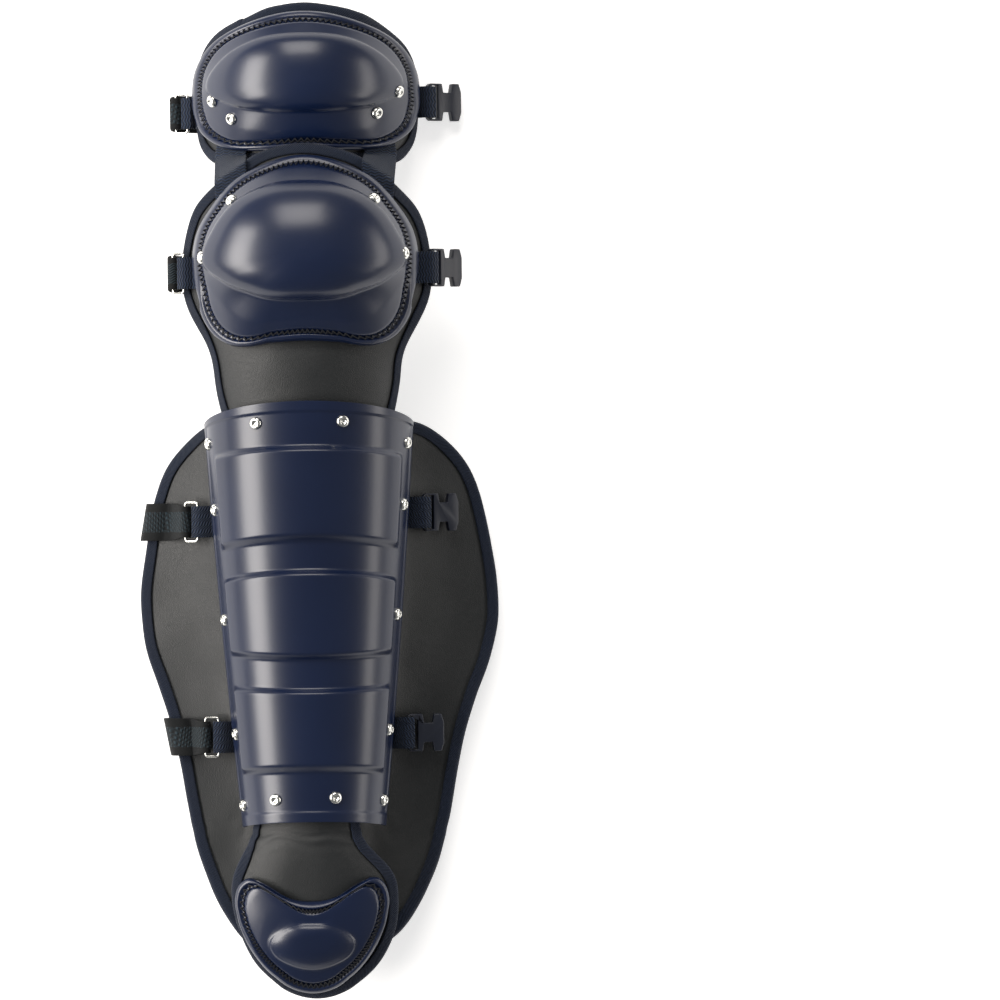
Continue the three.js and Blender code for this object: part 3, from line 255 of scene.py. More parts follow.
# %% Grain of leather
grain_group, nodes, given, out = effect(
    "leather_grain",
    [
        ("Vector", "NodeSocketVector", None),
        ("Cells", "NodeSocketFloat", 900.0),
        ("Creases", "NodeSocketFloat", 60.0),
    ],
    [("Height", "NodeSocketFloat"), ("Tone", "NodeSocketFloat")],
)
cells = nodes.add(
    "ShaderNodeTexVoronoi", {"Vector": given["Vector"], "Scale": given["Cells"]}, feature="DISTANCE_TO_EDGE"
)
pits = nodes.math("MINIMUM", nodes.math("MULTIPLY", cells.outputs["Distance"], 4.0), 1.0)
creases = nodes.add(
    "ShaderNodeTexNoise",
    {"Vector": given["Vector"], "Scale": given["Creases"], "Detail": 4.0, "Roughness": 0.6},
)
nodes.feed(out["Height"], nodes.math("ADD", nodes.math("MULTIPLY", pits, 0.6), creases.outputs["Fac"]))
nodes.feed(out["Tone"], creases.outputs["Fac"])

# %% Crossed threads of plain cloth
weave_group, nodes, given, out = effect(
    "plain_weave",
    [("Vector", "NodeSocketVector", None), ("Threads", "NodeSocketFloat", 2500.0)],
    [("Height", "NodeSocketFloat")],
)
apart = nodes.add("ShaderNodeSeparateXYZ", {"Vector": given["Vector"]}).outputs
over = nodes.math("SINE", nodes.math("MULTIPLY", apart["X"], given["Threads"]))
under = nodes.math("SINE", nodes.math("MULTIPLY", apart["Y"], given["Threads"]))
product = nodes.math("MULTIPLY", over, under)
nodes.feed(out["Height"], nodes.math("MULTIPLY_ADD", product, 0.5, 0.5))

# %% Zigzag ribs of tape
herringbone_group, nodes, given, out = effect(
    "herringbone",
    [
        ("Vector", "NodeSocketVector", None),
        ("Ribs", "NodeSocketFloat", 3600.0),
        ("Bands", "NodeSocketFloat", 250.0),
        ("Slope", "NodeSocketFloat", 1.0),
        ("Half", "NodeSocketFloat", 100.0),
    ],
    [("Height", "NodeSocketFloat"), ("Threads", "NodeSocketFloat")],
)
apart = nodes.add("ShaderNodeSeparateXYZ", {"Vector": given["Vector"]}).outputs
band = nodes.math("PINGPONG", nodes.math("MULTIPLY", apart["Y"], given["Bands"]), 1.0)
lean = nodes.math("MULTIPLY", nodes.math("DIVIDE", band, given["Bands"]), given["Slope"])
along = nodes.math("MULTIPLY", nodes.math("ADD", apart["X"], lean), given["Ribs"])
wave = nodes.math("MULTIPLY_ADD", nodes.math("SINE", along), 0.5, 0.5)
inside = nodes.math("LESS_THAN", nodes.math("ABSOLUTE", apart["X"]), given["Half"])
rib = nodes.math("MULTIPLY", wave, inside)
fine = nodes.add("ShaderNodeTexNoise", {"Vector": given["Vector"], "Scale": 1800.0, "Detail": 2.0})
nodes.feed(out["Height"], nodes.math("MULTIPLY_ADD", fine.outputs["Fac"], 0.3, rib))
nodes.feed(out["Threads"], rib)

# %% Patchy tone of a handled surface
handled_group, nodes, given, out = effect(
    "handled",
    [("Vector", "NodeSocketVector", None), ("Patches", "NodeSocketFloat", 14.0)],
    [("Patch", "NodeSocketFloat")],
)
patches = nodes.add(
    "ShaderNodeTexNoise",
    {"Vector": given["Vector"], "Scale": given["Patches"], "Detail": 5.0, "Roughness": 0.55},
)
nodes.feed(out["Patch"], patches.outputs["Fac"])

# %% [markdown]
# A finish is one Principled shader fed by these groups. Hard pieces and leather read Object
# coordinates, which don't stretch. Tape, webbing and elastic read the piece's own UV map, in metres.
# Its first direction runs along tape and webbing but across elastic, so that ribs lie across the first
# two and run along the last.

# %% Finishes


def finish_of(name, dark, light, roughness, bump=0.0, height=None, coordinates="Object", **plain):
    material = bpy.data.materials.new(name)
    material.use_nodes = True
    tree = material.node_tree
    shader = tree.nodes["Principled BSDF"]
    nodes = Nodes(tree)
    vector = nodes.add("ShaderNodeTexCoord").outputs["Object"]
    along = nodes.add("ShaderNodeTexCoord").outputs["UV"] if coordinates == "UV" else vector
    handled = nodes.add("ShaderNodeGroup", {}, node_tree=handled_group)
    nodes.feed(handled.inputs["Vector"], vector)
    share = handled.outputs["Patch"]
    if height:
        group, settings, output, weight = height
        pattern = nodes.add("ShaderNodeGroup", {}, node_tree=group)
        nodes.feed(pattern.inputs["Vector"], along)
        for label, value in settings.items():
            nodes.feed(pattern.inputs[label], value)
        heights = pattern.outputs["Height"]
        relief = nodes.add("ShaderNodeBump", {"Strength": 1.0, "Distance": bump, "Height": heights})
        tree.links.new(relief.outputs["Normal"], shader.inputs["Normal"])
        rest = nodes.math("MULTIPLY", share, 1 - weight)
        share = nodes.math("MULTIPLY_ADD", pattern.outputs[output], weight, rest)
    tree.links.new(nodes.blend(share, dark, light), shader.inputs["Base Color"])
    low, high = roughness
    patched = nodes.math("MULTIPLY_ADD", handled.outputs["Patch"], high - low, low)
    tree.links.new(patched, shader.inputs["Roughness"])
    for label, value in plain.items():
        shader.inputs[label.replace("_", " ")].default_value = value
    return material


def tone(red, green, blue):
    """A colour told as it shows on a screen, 0 to 255."""
    return tuple((value / 255) ** 2.2 for value in (red, green, blue)) + (1.0,)


navy_gloss = finish_of(
    "navy_gloss",
    tone(8, 21, 44),
    tone(12, 29, 58),
    (0.31, 0.38),
    Specular_IOR_Level=0.4,
    Coat_Weight=0.4,
    Coat_Roughness=0.23,
)
dark_leather = finish_of(
    "dark_leather",
    tone(17, 20, 22),
    tone(30, 33, 35),
    (0.46, 0.6),
    bump=0.00012,
    height=(grain_group, {"Cells": 900.0, "Creases": 45.0}, "Tone", 0.5),
)
black_cloth = finish_of(
    "black_cloth",
    tone(14, 22, 22),
    tone(30, 42, 42),
    (0.85, 0.97),
    bump=0.00015,
    height=(weave_group, {"Threads": 5200.0}, "Height", 0.35),
    Sheen_Weight=0.25,
)
navy_tape = finish_of(
    "navy_tape",
    tone(5, 11, 21),
    tone(24, 38, 60),
    (0.75, 0.92),
    bump=0.0004,
    height=(herringbone_group, {"Ribs": 4700.0, "Bands": 160.0, "Slope": 1.0}, "Threads", 0.6),
    coordinates="UV",
    Specular_IOR_Level=0.3,
    Sheen_Weight=0.08,
)
navy_webbing = finish_of(
    "navy_webbing",
    tone(4, 9, 16),
    tone(31, 45, 67),
    (0.7, 0.88),
    bump=0.0005,
    height=(herringbone_group, {"Ribs": 3100.0, "Bands": 400.0, "Slope": 0.5}, "Threads", 0.7),
    coordinates="UV",
    Specular_IOR_Level=0.3,
    Sheen_Weight=0.08,
)
elastic = finish_of(
    "elastic",
    tone(3, 6, 9),
    tone(40, 53, 60),
    (0.75, 0.92),
    bump=0.0006,
    height=(
        herringbone_group,
        {"Ribs": 3900.0, "Bands": 560.0, "Slope": 0.9, "Half": 0.0068},
        "Threads",
        0.9,
    ),
    coordinates="UV",
    Specular_IOR_Level=0.3,
    Sheen_Weight=0.05,
)
bright_nickel = finish_of(
    "bright_nickel", tone(205, 205, 200), tone(235, 235, 230), (0.14, 0.26), Metallic=1.0
)
black_plastic = finish_of("black_plastic", tone(17, 21, 32), tone(30, 36, 50), (0.34, 0.46))
black_thread = finish_of("black_thread", tone(8, 10, 14), tone(24, 27, 34), (0.7, 0.9))
print("finishes:", len(bpy.data.materials))

# %% [markdown]
# Every piece is added the same way: its mesh is shaded smooth, its object stays at the origin, and the
# solids of the frame that it stands for are hidden. A grid or a spun disc whose corners are then moved
# one by one is enough for all the curved sheets of this guard.

# %% Adding pieces
SCENE = bpy.context.scene


def add_piece(name, bm, finish, replaced=(), finishes=()):
    mesh = bpy.data.meshes.new(name)
    bm.to_mesh(mesh)
    bm.free()
    for material in (finish, *finishes):
        mesh.materials.append(material)
    mesh.shade_smooth()
    piece = bpy.data.objects.new(name, mesh)
    SCENE.collection.objects.link(piece)
    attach(piece, "root")
    if replaced:
        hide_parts(*replaced)
    return piece


def add_modifier(piece, kind, **settings):
    modifier = piece.modifiers.new(kind.lower(), kind)
    for name, value in settings.items():
        setattr(modifier, name, value)
    return modifier


def add_smoothing(piece, levels):
    return add_modifier(piece, "SUBSURF", levels=levels, render_levels=levels)


def grid_sheet(columns, rows, place, closed=False):
    """A grid whose corner (i, j) goes to place(i, j), which gives a point in mm and its UV in metres."""
    bm = bmesh.new()
    bmesh.ops.create_grid(bm, x_segments=columns - 1, y_segments=rows - 1, size=1.0)
    uv = bm.loops.layers.uv.new("UVMap")
    half = max(v.co.x for v in bm.verts)
    flat = {}
    for v in bm.verts:
        i = round((v.co.x / half + 1) / 2 * (columns - 1))
        j = round((v.co.y / half + 1) / 2 * (rows - 1))
        point, flat[v.index] = place(i, j)
        v.co = point
    for face in bm.faces:
        for loop in face.loops:
            loop[uv].uv = flat[loop.vert.index]
    if closed:
        bmesh.ops.remove_doubles(bm, verts=bm.verts, dist=1e-6)
    return bm


def spun_disc(rings, spokes, place, closed=False):
    """A disc of rings whose corner goes to place(ring, angle, is_front); closed adds a back face."""
    bm = bmesh.new()
    count = len(rings)
    path = [bm.verts.new((float(k), 0.0, 1.0)) for k in range(count)]
    if closed:
        path += [bm.verts.new((float(k), 0.0, 0.0)) for k in range(count - 1, -1, -1)]
    edges = [bm.edges.new(pair) for pair in zip(path, path[1:])]
    bmesh.ops.spin(
        bm,
        geom=path + edges,
        cent=(0, 0, 0),
        axis=(0, 0, 1),
        angle=2 * math.pi,
        steps=spokes,
        use_merge=True,
    )
    bmesh.ops.remove_doubles(bm, verts=bm.verts, dist=1e-4)
    for v in bm.verts:
        k = round(math.hypot(v.co.x, v.co.y))
        v.co = place(rings[k], math.atan2(v.co.x, v.co.y), v.co.z > 0.5)
    bm.normal_update()
    bmesh.ops.recalc_face_normals(bm, faces=bm.faces)
    return bm


def faces_up(bm):
    """Turns an open sheet so that it faces the camera side."""
    bm.normal_update()
    if sum(face.normal.z * face.calc_area() for face in bm.faces) < 0:
        bmesh.ops.reverse_faces(bm, faces=bm.faces)


# %% [markdown]
# The shin shell is moulded in one piece from thick plastic: three raised panels, a lip along every
# edge, and a plain flange down each side where the rivets sit. A grid bent by the shell's
# formula gives the tube, and the panels are raised by soft steps. Solidify adds the wall.

# %% Shin shell
SHELL_COLUMNS = 141
SHELL_EDGE_ROUND = 0.6
SHELL_SHARP = math.radians(50)
SHELL_STEPS = 331
PANEL_SIDE_TURN = 63.0
PANEL_SIDE_SLOPE = 4.0
LIP_RAISE = 0.9
LIP_SHARE = 0.024
LIP_SLOPE = 0.006
PANEL_CROWN = 0.8
SIDE_LIP_TURN = 79.5
SIDE_LIP_SLOPE = 1.5
SIDE_LIP_SHARE = 0.8

shell_end = SHELL_ROWS[-1]["at"]
edge_bow = 1 - math.cos(math.radians(SHELL_EDGE_TURN))


def panel_raise(along, turn):
    lengthways = soft_step(plain_from(SHELL_ROWS, along, "raise"))
    sideways = soft_step((PANEL_SIDE_TURN + PANEL_SIDE_SLOPE - abs(turn)) / PANEL_SIDE_SLOPE / 2)
    from_middle = min(abs(turn) / PANEL_SIDE_TURN, 1.0)
    crown = PANEL_CROWN * math.cos(from_middle * math.pi / 2)
    return lengthways * sideways * (PANEL_RAISE + crown - PANEL_CROWN)


def lip_raise(along, turn):
    from_end = min(along, shell_end - along)
    across = soft_step((LIP_SHARE - from_end) / LIP_SLOPE + 0.5)
    down = soft_step((abs(turn) - SIDE_LIP_TURN) / SIDE_LIP_SLOPE)
    return LIP_RAISE * max(across, SIDE_LIP_SHARE * down)


def shell_corner(i, j):
    turn = mix(-SHELL_EDGE_TURN, SHELL_EDGE_TURN, i / (SHELL_COLUMNS - 1))
    along = shell_end * j / (SHELL_STEPS - 1)
    bow = plain_from(SHELL_ROWS, along, "bow") * (1 - math.cos(math.radians(turn))) / edge_bow
    point = shell_point(along + bow, turn, panel_raise(along, turn) + lip_raise(along, turn))
    return placed(point), (turn, along)


bm = grid_sheet(SHELL_COLUMNS, SHELL_STEPS, shell_corner)
faces_up(bm)
shell = add_piece("shin_shell_moulding", bm, navy_gloss, ["shin_shell"])
add_modifier(shell, "SOLIDIFY", thickness=SHELL_WALL * MM, offset=-1.0)
add_modifier(
    shell, "BEVEL", width=SHELL_EDGE_ROUND * MM, segments=2, limit_method="ANGLE", angle_limit=SHELL_SHARP
)
print("shin shell:", len(shell.data.polygons), "faces")

# %% [markdown]
# The knee, thigh and foot caps are domes over arched pads. Each cap is worked out from three things:
# the arch that it sits on, its outline, and the raised form in its middle, which is an almond on the
# knee and the thigh. Around the middle the surface drops in a crisp step to a skirt, and a groove near
# the edge takes the stitches.

# %% The arches under the caps
PAD_THICK = 8.0
CLEAR = 0.4
FACET_ROOM = 0.6
TAPE_THICK = 1.1
TAPE_CLEAR = 0.85
TAPE_STAND = TAPE_THICK + TAPE_CLEAR
WEB_THICK = 1.8
WEB_SEAT = WEB_THICK + 2 * CLEAR
ARCH_FLOOR = 0.02
SLOPE_STEP = 0.5
CAP_SEAT = WEB_SEAT + 3 * FACET_ROOM
CAP_WALL = 2.6
NEST_INSET = SHELL_WALL + CLEAR + TAPE_STAND + FACET_ROOM
KNEE_TOP_Y, KNEE_PAD_LENGTH, KNEE_BEND, KNEE_RISE, KNEE_AXIS = 232.0, 203.0, 88.0, 55.0, 41.0
THIGH_TOP_Y, THIGH_LENGTH, THIGH_BEND, THIGH_RISE, THIGH_AXIS = 331.0, 98.0, 80.0, 84.0, -19.0
FOOT_TOP_Y, FOOT_LENGTH, FOOT_BEND = -190.0, 141.0, 68.0
FOOT_AXIS_SHARE = 0.82

KNEE_ARCH = [
    {"at": 0.0, "rise": 0.69, "nest": 0.0},
    {"at": 0.06, "rise": 0.78, "nest": 0.0},
    {"at": 0.12, "rise": 0.86, "nest": 0.0},
    {"at": 0.19, "rise": 0.93, "nest": 0.0},
    {"at": 0.27, "rise": 0.98, "nest": 0.0},
    {"at": 0.36, "rise": 1.0, "nest": 0.0},
    {"at": 0.45, "rise": 1.0, "nest": 0.0},
    {"at": 0.52, "rise": 1.0, "nest": 0.15},
    {"at": 0.58, "rise": 1.0, "nest": 0.4},
    {"at": 0.64, "rise": 1.0, "nest": 0.7},
    {"at": 0.7, "rise": 1.0, "nest": 0.9},
    {"at": 0.76, "rise": 1.0, "nest": 1.0},
]
THIGH_ARCH = [
    {"at": 0.0, "rise": 0.95},
    {"at": 0.1, "rise": 0.975},
    {"at": 0.22, "rise": 0.99},
    {"at": 0.36, "rise": 1.0},
    {"at": 0.65, "rise": 1.0},
    {"at": 0.8, "rise": 0.995},
    {"at": 0.91, "rise": 0.985},
    {"at": 1.0, "rise": 0.975},
]
FOOT_ARCH = [
    {"at": 0.19, "nest": 1.0, "drop": 0.0},
    {"at": 0.26, "nest": 0.6, "drop": 0.02},
    {"at": 0.335, "nest": 0.25, "drop": 0.05},
    {"at": 0.4, "nest": 0.08, "drop": 0.08},
    {"at": 0.48, "nest": 0.0, "drop": 0.13},
    {"at": 0.6, "nest": 0.0, "drop": 0.22},
    {"at": 0.7, "nest": 0.0, "drop": 0.33},
    {"at": 0.79, "nest": 0.0, "drop": 0.45},
    {"at": 0.88, "nest": 0.0, "drop": 0.62},
    {"at": 1.0, "nest": 0.0, "drop": 0.9},
]


def arch_height(x, bend, rise, axis):
    return axis + rise * math.sqrt(max(ARCH_FLOOR, 1 - (x / bend) ** 2))


def nest_height(x, y):
    size = shell_size(shell_share(y))
    return arch_height(x, size["half"] - NEST_INSET, size["rise"] - NEST_INSET, size["axis"])


def knee_height(x, y):
    at = (KNEE_TOP_Y - y) / KNEE_PAD_LENGTH
    free = arch_height(x, KNEE_BEND, KNEE_RISE * smooth_from(KNEE_ARCH, at, "rise"), KNEE_AXIS)
    return mix(free, nest_height(x, y), smooth_from(KNEE_ARCH, at, "nest"))


def thigh_height(x, y):
    at = (THIGH_TOP_Y - y) / THIGH_LENGTH
    return arch_height(x, THIGH_BEND, THIGH_RISE * smooth_from(THIGH_ARCH, at, "rise"), THIGH_AXIS)


def foot_height(x, y):
    at = (FOOT_TOP_Y - y) / FOOT_LENGTH
    axis = SHELL_FOOT_AXIS * (FOOT_AXIS_SHARE - smooth_from(FOOT_ARCH, at, "drop"))
    free = arch_height(x, FOOT_BEND, SHELL_FOOT_RISE, axis)
    return mix(free, nest_height(x, y), smooth_from(FOOT_ARCH, at, "nest"))


def arch_normal(height, x, y):
    slope_x = (height(x + SLOPE_STEP, y) - height(x - SLOPE_STEP, y)) / (2 * SLOPE_STEP)
    slope_y = (height(x, y + SLOPE_STEP) - height(x, y - SLOPE_STEP)) / (2 * SLOPE_STEP)
    return Vector((-slope_x, -slope_y, 1)).normalized()


# %% [markdown]
# An outline is told by a few points of its right half, as shares of the cap's half width and half
# height. Turned into a radius for each angle and joined smoothly, it can be blended with another one,
# which is how the almond passes into the rim.

# %% Outlines
KNEE_CAP = {"half": 71.5, "tall": 62.7, "x": 0.0, "y": 165.3, "dome": 35.0}
THIGH_CAP = {"half": 71.5, "tall": 44.0, "x": 0.0, "y": 281.5, "dome": 20.0}
FOOT_CAP = {"half": 49.0, "tall": 36.0, "x": -1.5, "y": -290.0, "dome": 7.0}
KNEE_OUTLINE = [
    (0, 1), (0.37, 0.905), (0.63, 0.745), (0.82, 0.5), (0.955, 0.235), (1, 0),
    (0.965, -0.4), (0.89, -0.7), (0.78, -0.88), (0.645, -0.975), (0.5, -0.995), (0.3, -0.96), (0, -0.945),
]
KNEE_ALMOND = [
    (0, 0.68), (0.32, 0.645), (0.58, 0.51), (0.79, 0.22), (0.88, -0.12), (0.72, -0.3), (0.45, -0.44),
    (0, -0.51),
]
THIGH_OUTLINE = [
    (0, 1), (0.46, 0.87), (0.79, 0.6), (0.96, 0.22), (1, -0.15), (0.98, -0.52), (0.89, -0.83),
    (0.69, -1.03), (0.35, -1.08), (0, -1.07),
]
THIGH_ALMOND = [
    (0, 0.63), (0.45, 0.53), (0.72, 0.26), (0.83, -0.17), (0.64, -0.37), (0.33, -0.48), (0, -0.51),
]
FOOT_OUTLINE = [
    (0, 0.7), (0.15, 0.715), (0.3, 0.77), (0.46, 0.88), (0.62, 1.02), (0.78, 1.12), (0.93, 1.03), (1, 0.78),
    (0.98, 0.45), (0.9, 0.06), (0.75, -0.33), (0.52, -0.68), (0.27, -0.92), (0, -1),
]
FOOT_OVAL = [(0, 0.3), (0.32, 0.23), (0.52, 0.02), (0.5, -0.22), (0.28, -0.42), (0, -0.5)]


def radius_by_angle(points):
    rows = [{"at": math.atan2(x, y), "r": math.hypot(x, y)} for x, y in points]
    rows[0]["at"], rows[-1]["at"] = 0.0, math.pi
    whole = [{"at": -row["at"], "r": row["r"]} for row in reversed(rows[1:])] + rows
    after = {"at": 2 * math.pi - rows[-2]["at"], "r": rows[-2]["r"]}
    before = {"at": -after["at"], "r": after["r"]}
    table = [before, *whole, after]
    return lambda angle: smooth_from(table, angle, "r")


# %% The cap's surface
STITCH_IN = 6.2
GROOVE_DEEP = 1.2
GROOVE_HALF = 1.8
RIM_RAISE = 0.8
RIM_ROLL = 2.4
RIM_DROP = 3.6
FOOT_SINK = 2.2
DOME_SIZES = [
    0, 0.04, 0.1, 0.17, 0.25, 0.33, 0.41, 0.49, 0.57, 0.65, 0.72, 0.79, 0.85, 0.9, 0.94, 0.97, 0.985, 1.0,
]
STEP_BLENDS = [0.012, 0.03, 0.05, 0.075, 0.1]
SKIRT_STEPS = 12
RIM_DISTANCES = [
    11, 10, 9.2, 8.6, 8.1, 7.6, 7.1, 6.6, 6.1, 5.6, 5.1, 4.7, 4.2, 3.6, 3.0, 2.3, 1.6, 1.0, 0.45, 0,
]
BLEND_APART = 0.001
CAP_SPOKES = 168


class Cap:
    """A hard cap over an arch: a dome, a step, a skirt, and a groove near its rim."""

    def __init__(self, height, size, outline, form, dome, skirt):
        self.height, self.size, self.dome, self.skirt = height, size, dome, skirt
        self.edge = radius_by_angle(outline)
        self.form = radius_by_angle(form)
        self.rings = [("dome", value) for value in DOME_SIZES]
        self.rings += [("step", value) for value in STEP_BLENDS]
        self.rings += [("skirt", k / SKIRT_STEPS) for k in range(1, SKIRT_STEPS)]
        self.rings += [("rim", value) for value in RIM_DISTANCES]

    def blend_at(self, distance, angle):
        """How far from the form to the edge a place lies that is this far inside the edge."""
        reach = self.edge(angle) - self.form(angle)
        across = math.hypot(self.size["half"] * math.sin(angle), self.size["tall"] * math.cos(angle))
        least = STEP_BLENDS[-1] + BLEND_APART * (RIM_DISTANCES[0] + 1 - distance)
        return max(1 - distance / (reach * across), least)

    def point(self, ring, angle, above=0.0):
        kind, value = ring
        size = self.size
        if kind == "dome":
            radius = value * self.form(angle)
            rise = smooth_from(self.dome, value, "rise", "size")
            relief = 0.0
        else:
            if kind == "step":
                blend = value
            elif kind == "skirt":
                blend = mix(STEP_BLENDS[-1], self.blend_at(RIM_DISTANCES[0], angle), value)
            else:
                blend = self.blend_at(value, angle)
            radius = mix(self.form(angle), self.edge(angle), blend)
            rise = plain_from(self.skirt, blend, "rise", "blend")
            relief = self.relief(value) if kind == "rim" else 0.0
        x = size["x"] + size["half"] * radius * math.sin(angle)
        y = size["y"] + size["tall"] * radius * math.cos(angle)
        lifted = Vector((x, y, self.height(x, y) + size["dome"] * rise))
        lifted += arch_normal(self.height, x, y) * (CAP_SEAT + CAP_WALL + relief + above)
        return placed(lifted)

    def relief(self, distance):
        groove = -GROOVE_DEEP * math.exp(-(((distance - STITCH_IN) / GROOVE_HALF) ** 4))
        rim = RIM_RAISE * soft_step((STITCH_IN - distance) / STITCH_IN * 2)
        roll = -RIM_DROP * clamp(1 - distance / RIM_ROLL, 0, 1) ** 2
        return groove + rim + roll

    def build(self, name, node):
        bm = spun_disc(self.rings, CAP_SPOKES, lambda ring, angle, is_front: self.point(ring, angle))
        faces_up(bm)
        piece = add_piece(name, bm, navy_gloss, [node])
        add_modifier(piece, "SOLIDIFY", thickness=CAP_WALL * MM, offset=-1.0)
        return piece


ALMOND_DOME = [
    {"size": 0, "rise": 1.0}, {"size": 0.3, "rise": 0.985}, {"size": 0.6, "rise": 0.915},
    {"size": 0.85, "rise": 0.78}, {"size": 0.97, "rise": 0.64}, {"size": 1.0, "rise": 0.585},
]
KNEE_SKIRT = [
    {"blend": 0, "rise": 0.585}, {"blend": 0.03, "rise": 0.5}, {"blend": 0.06, "rise": 0.465},
    {"blend": 0.5, "rise": 0.25}, {"blend": 0.8, "rise": 0.06}, {"blend": 1.0, "rise": 0},
]
FOOT_DOME = [
    {"size": 0, "rise": 0.95}, {"size": 0.5, "rise": 0.93}, {"size": 0.8, "rise": 0.74},
    {"size": 1.0, "rise": 0.46},
]
FOOT_SKIRT = [
    {"blend": 0, "rise": 0.46}, {"blend": 0.06, "rise": 0.36}, {"blend": 0.15, "rise": 0.31},
    {"blend": 0.4, "rise": 0.3},
    {"blend": 0.75, "rise": 0.22}, {"blend": 0.86, "rise": 0.05}, {"blend": 1.0, "rise": 0},
]



def foot_seat(x, y):
    return foot_height(x, y) - FOOT_SINK


knee_cap = Cap(knee_height, KNEE_CAP, KNEE_OUTLINE, KNEE_ALMOND, ALMOND_DOME, KNEE_SKIRT)
thigh_cap = Cap(thigh_height, THIGH_CAP, THIGH_OUTLINE, THIGH_ALMOND, ALMOND_DOME, KNEE_SKIRT)
foot_cap = Cap(foot_seat, FOOT_CAP, FOOT_OUTLINE, FOOT_OVAL, FOOT_DOME, FOOT_SKIRT)
knee_cap.build("knee_cap_moulding", "knee_cap")
thigh_cap.build("thigh_cap_moulding", "thigh_cap")
foot_cap.build("foot_cap_moulding", "foot_cap")
print("rings on a cap:", len(knee_cap.rings))

# %% [markdown]
# Thick black thread zigzags through the groove of each cap and holds it to its pad. A curve with a
# round bevel follows the cap's own surface from side to side of the groove, and is then made a mesh.

# %% Stitches round the caps
THREAD_RADIUS = 0.62
STITCH_STEP = 3.4
STITCH_HALF = 1.3
THREAD_ABOVE = 0.45


def thread_mesh(name, points, radius):
    curve = bpy.data.curves.new(name, "CURVE")
    curve.dimensions = "3D"
    curve.bevel_depth = radius * MM
    curve.bevel_resolution = 1
    spline = curve.splines.new("POLY")
    spline.points.add(len(points) - 1)
    for place, point in zip(spline.points, points):
        place.co = (*point, 1.0)
    spline.use_cyclic_u = True
    holder = bpy.data.objects.new(name, curve)
    mesh = bpy.data.meshes.new_from_object(holder)
    bpy.data.objects.remove(holder)
    bm = bmesh.new()
    bm.from_mesh(mesh)
    return bm


def stitch(cap, name):
    ring_length = 2 * math.pi * (cap.size["half"] + cap.size["tall"]) / 2
    count = 2 * round(ring_length / STITCH_STEP)
    points = []
    for k in range(count):
        angle = mix(-math.pi, math.pi, k / count)
        side = STITCH_HALF if k % 2 else -STITCH_HALF
        points.append(cap.point(("rim", STITCH_IN + side), angle, THREAD_ABOVE))
    add_piece(name, thread_mesh(name, points, THREAD_RADIUS), black_thread)


stitch(knee_cap, "knee_cap_stitches")
stitch(thigh_cap, "thigh_cap_stitches")
stitch(foot_cap, "foot_cap_stitches")

# %% [markdown]
# Nickel rivets hold the shells to the pads. Each solid rivet of the frame gives a seat and a direction:
# the direction with the most flat area is its foot. A spun profile with a dished middle goes there.

# %% Rivets
RIVET_PROFILE = [
    (0.0, 0.5), (0.9, 0.55), (1.4, 0.95), (1.8, 1.6), (2.3, 1.85), (3.0, 1.7), (3.7, 1.2), (4.15, 0.45),
    (4.25, -0.6),
]
RIVET_SPOKES = 32
SAME_WAY = 0.99


def merged_copy(node):
    bm = bmesh.new()
    bm.from_mesh(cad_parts[node].data)
    bmesh.ops.remove_doubles(bm, verts=bm.verts, dist=1e-6)
    bm.normal_update()
    return bm


def rivet_seat(node):
    bm = merged_copy(node)
    areas = {}
    for face in bm.faces:
        way = tuple(round(value, 2) for value in face.normal)
        areas[way] = areas.get(way, 0) + face.calc_area()
    normal = -Vector(max(areas, key=areas.get)).normalized()
    flat = [face for face in bm.faces if face.normal.dot(normal) < -SAME_WAY]
    area = sum(face.calc_area() for face in flat)
    seat = sum((face.calc_center_median() * face.calc_area() for face in flat), Vector()) / area
    bm.free()
    return seat, normal


def stud(profile, seat, normal):
    """A round stud that stands on its seat; its profile is told as radius and height."""

    def corner(ring, angle, is_front):
        radius, height = ring
        return Vector((radius * math.sin(angle), radius * math.cos(angle), height)) * MM

    bm = spun_disc(profile, RIVET_SPOKES, corner)
    turn = Vector((0, 0, 1)).rotation_difference(normal).to_matrix().to_4x4()
    bmesh.ops.transform(bm, matrix=Matrix.Translation(seat) @ turn, verts=bm.verts)
    return bm


rivets = sorted(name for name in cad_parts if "_rivet_" in name)
for node in rivets:
    seat, normal = rivet_seat(node)
    add_piece(node + "_head", stud(RIVET_PROFILE, seat, normal), bright_nickel, [node])
print("rivets:", len(rivets))

# %% [markdown]
# The pads are foam in sewn covers: leather on the front, black cloth on the back. A copy of each pad's
# solid is merged, its triangles are joined to four-sided faces, and its rims are creased, so that
# Subdivision Surface rounds the pad but keeps its edge where the tape goes. The thigh pad's lower hem
# and the knee pad's upper hem are let out until they meet. A little noise then lets the foam swell and
# sink, and folds the cover finely where the ankle bends.

# %% Pads
PAD_LEVELS = 3
HEMS = {"thigh_pad": (-7.5, 265.0, -32.0), "knee_pad": (4.5, 200.0, 30.0)}
FACE_ANGLE = math.radians(50)
FOAM_SWELL = 0.9
FOAM_PATCH = 26.0
CREASE_Y = -222.0
CREASE_REACH = 14.0
CREASE_STEP = 6.5
CREASE_DEEP = 0.45
CREASE_BEND = 7.0
OTHER_NOISE = Vector((5.0, 0.0, 0.0))


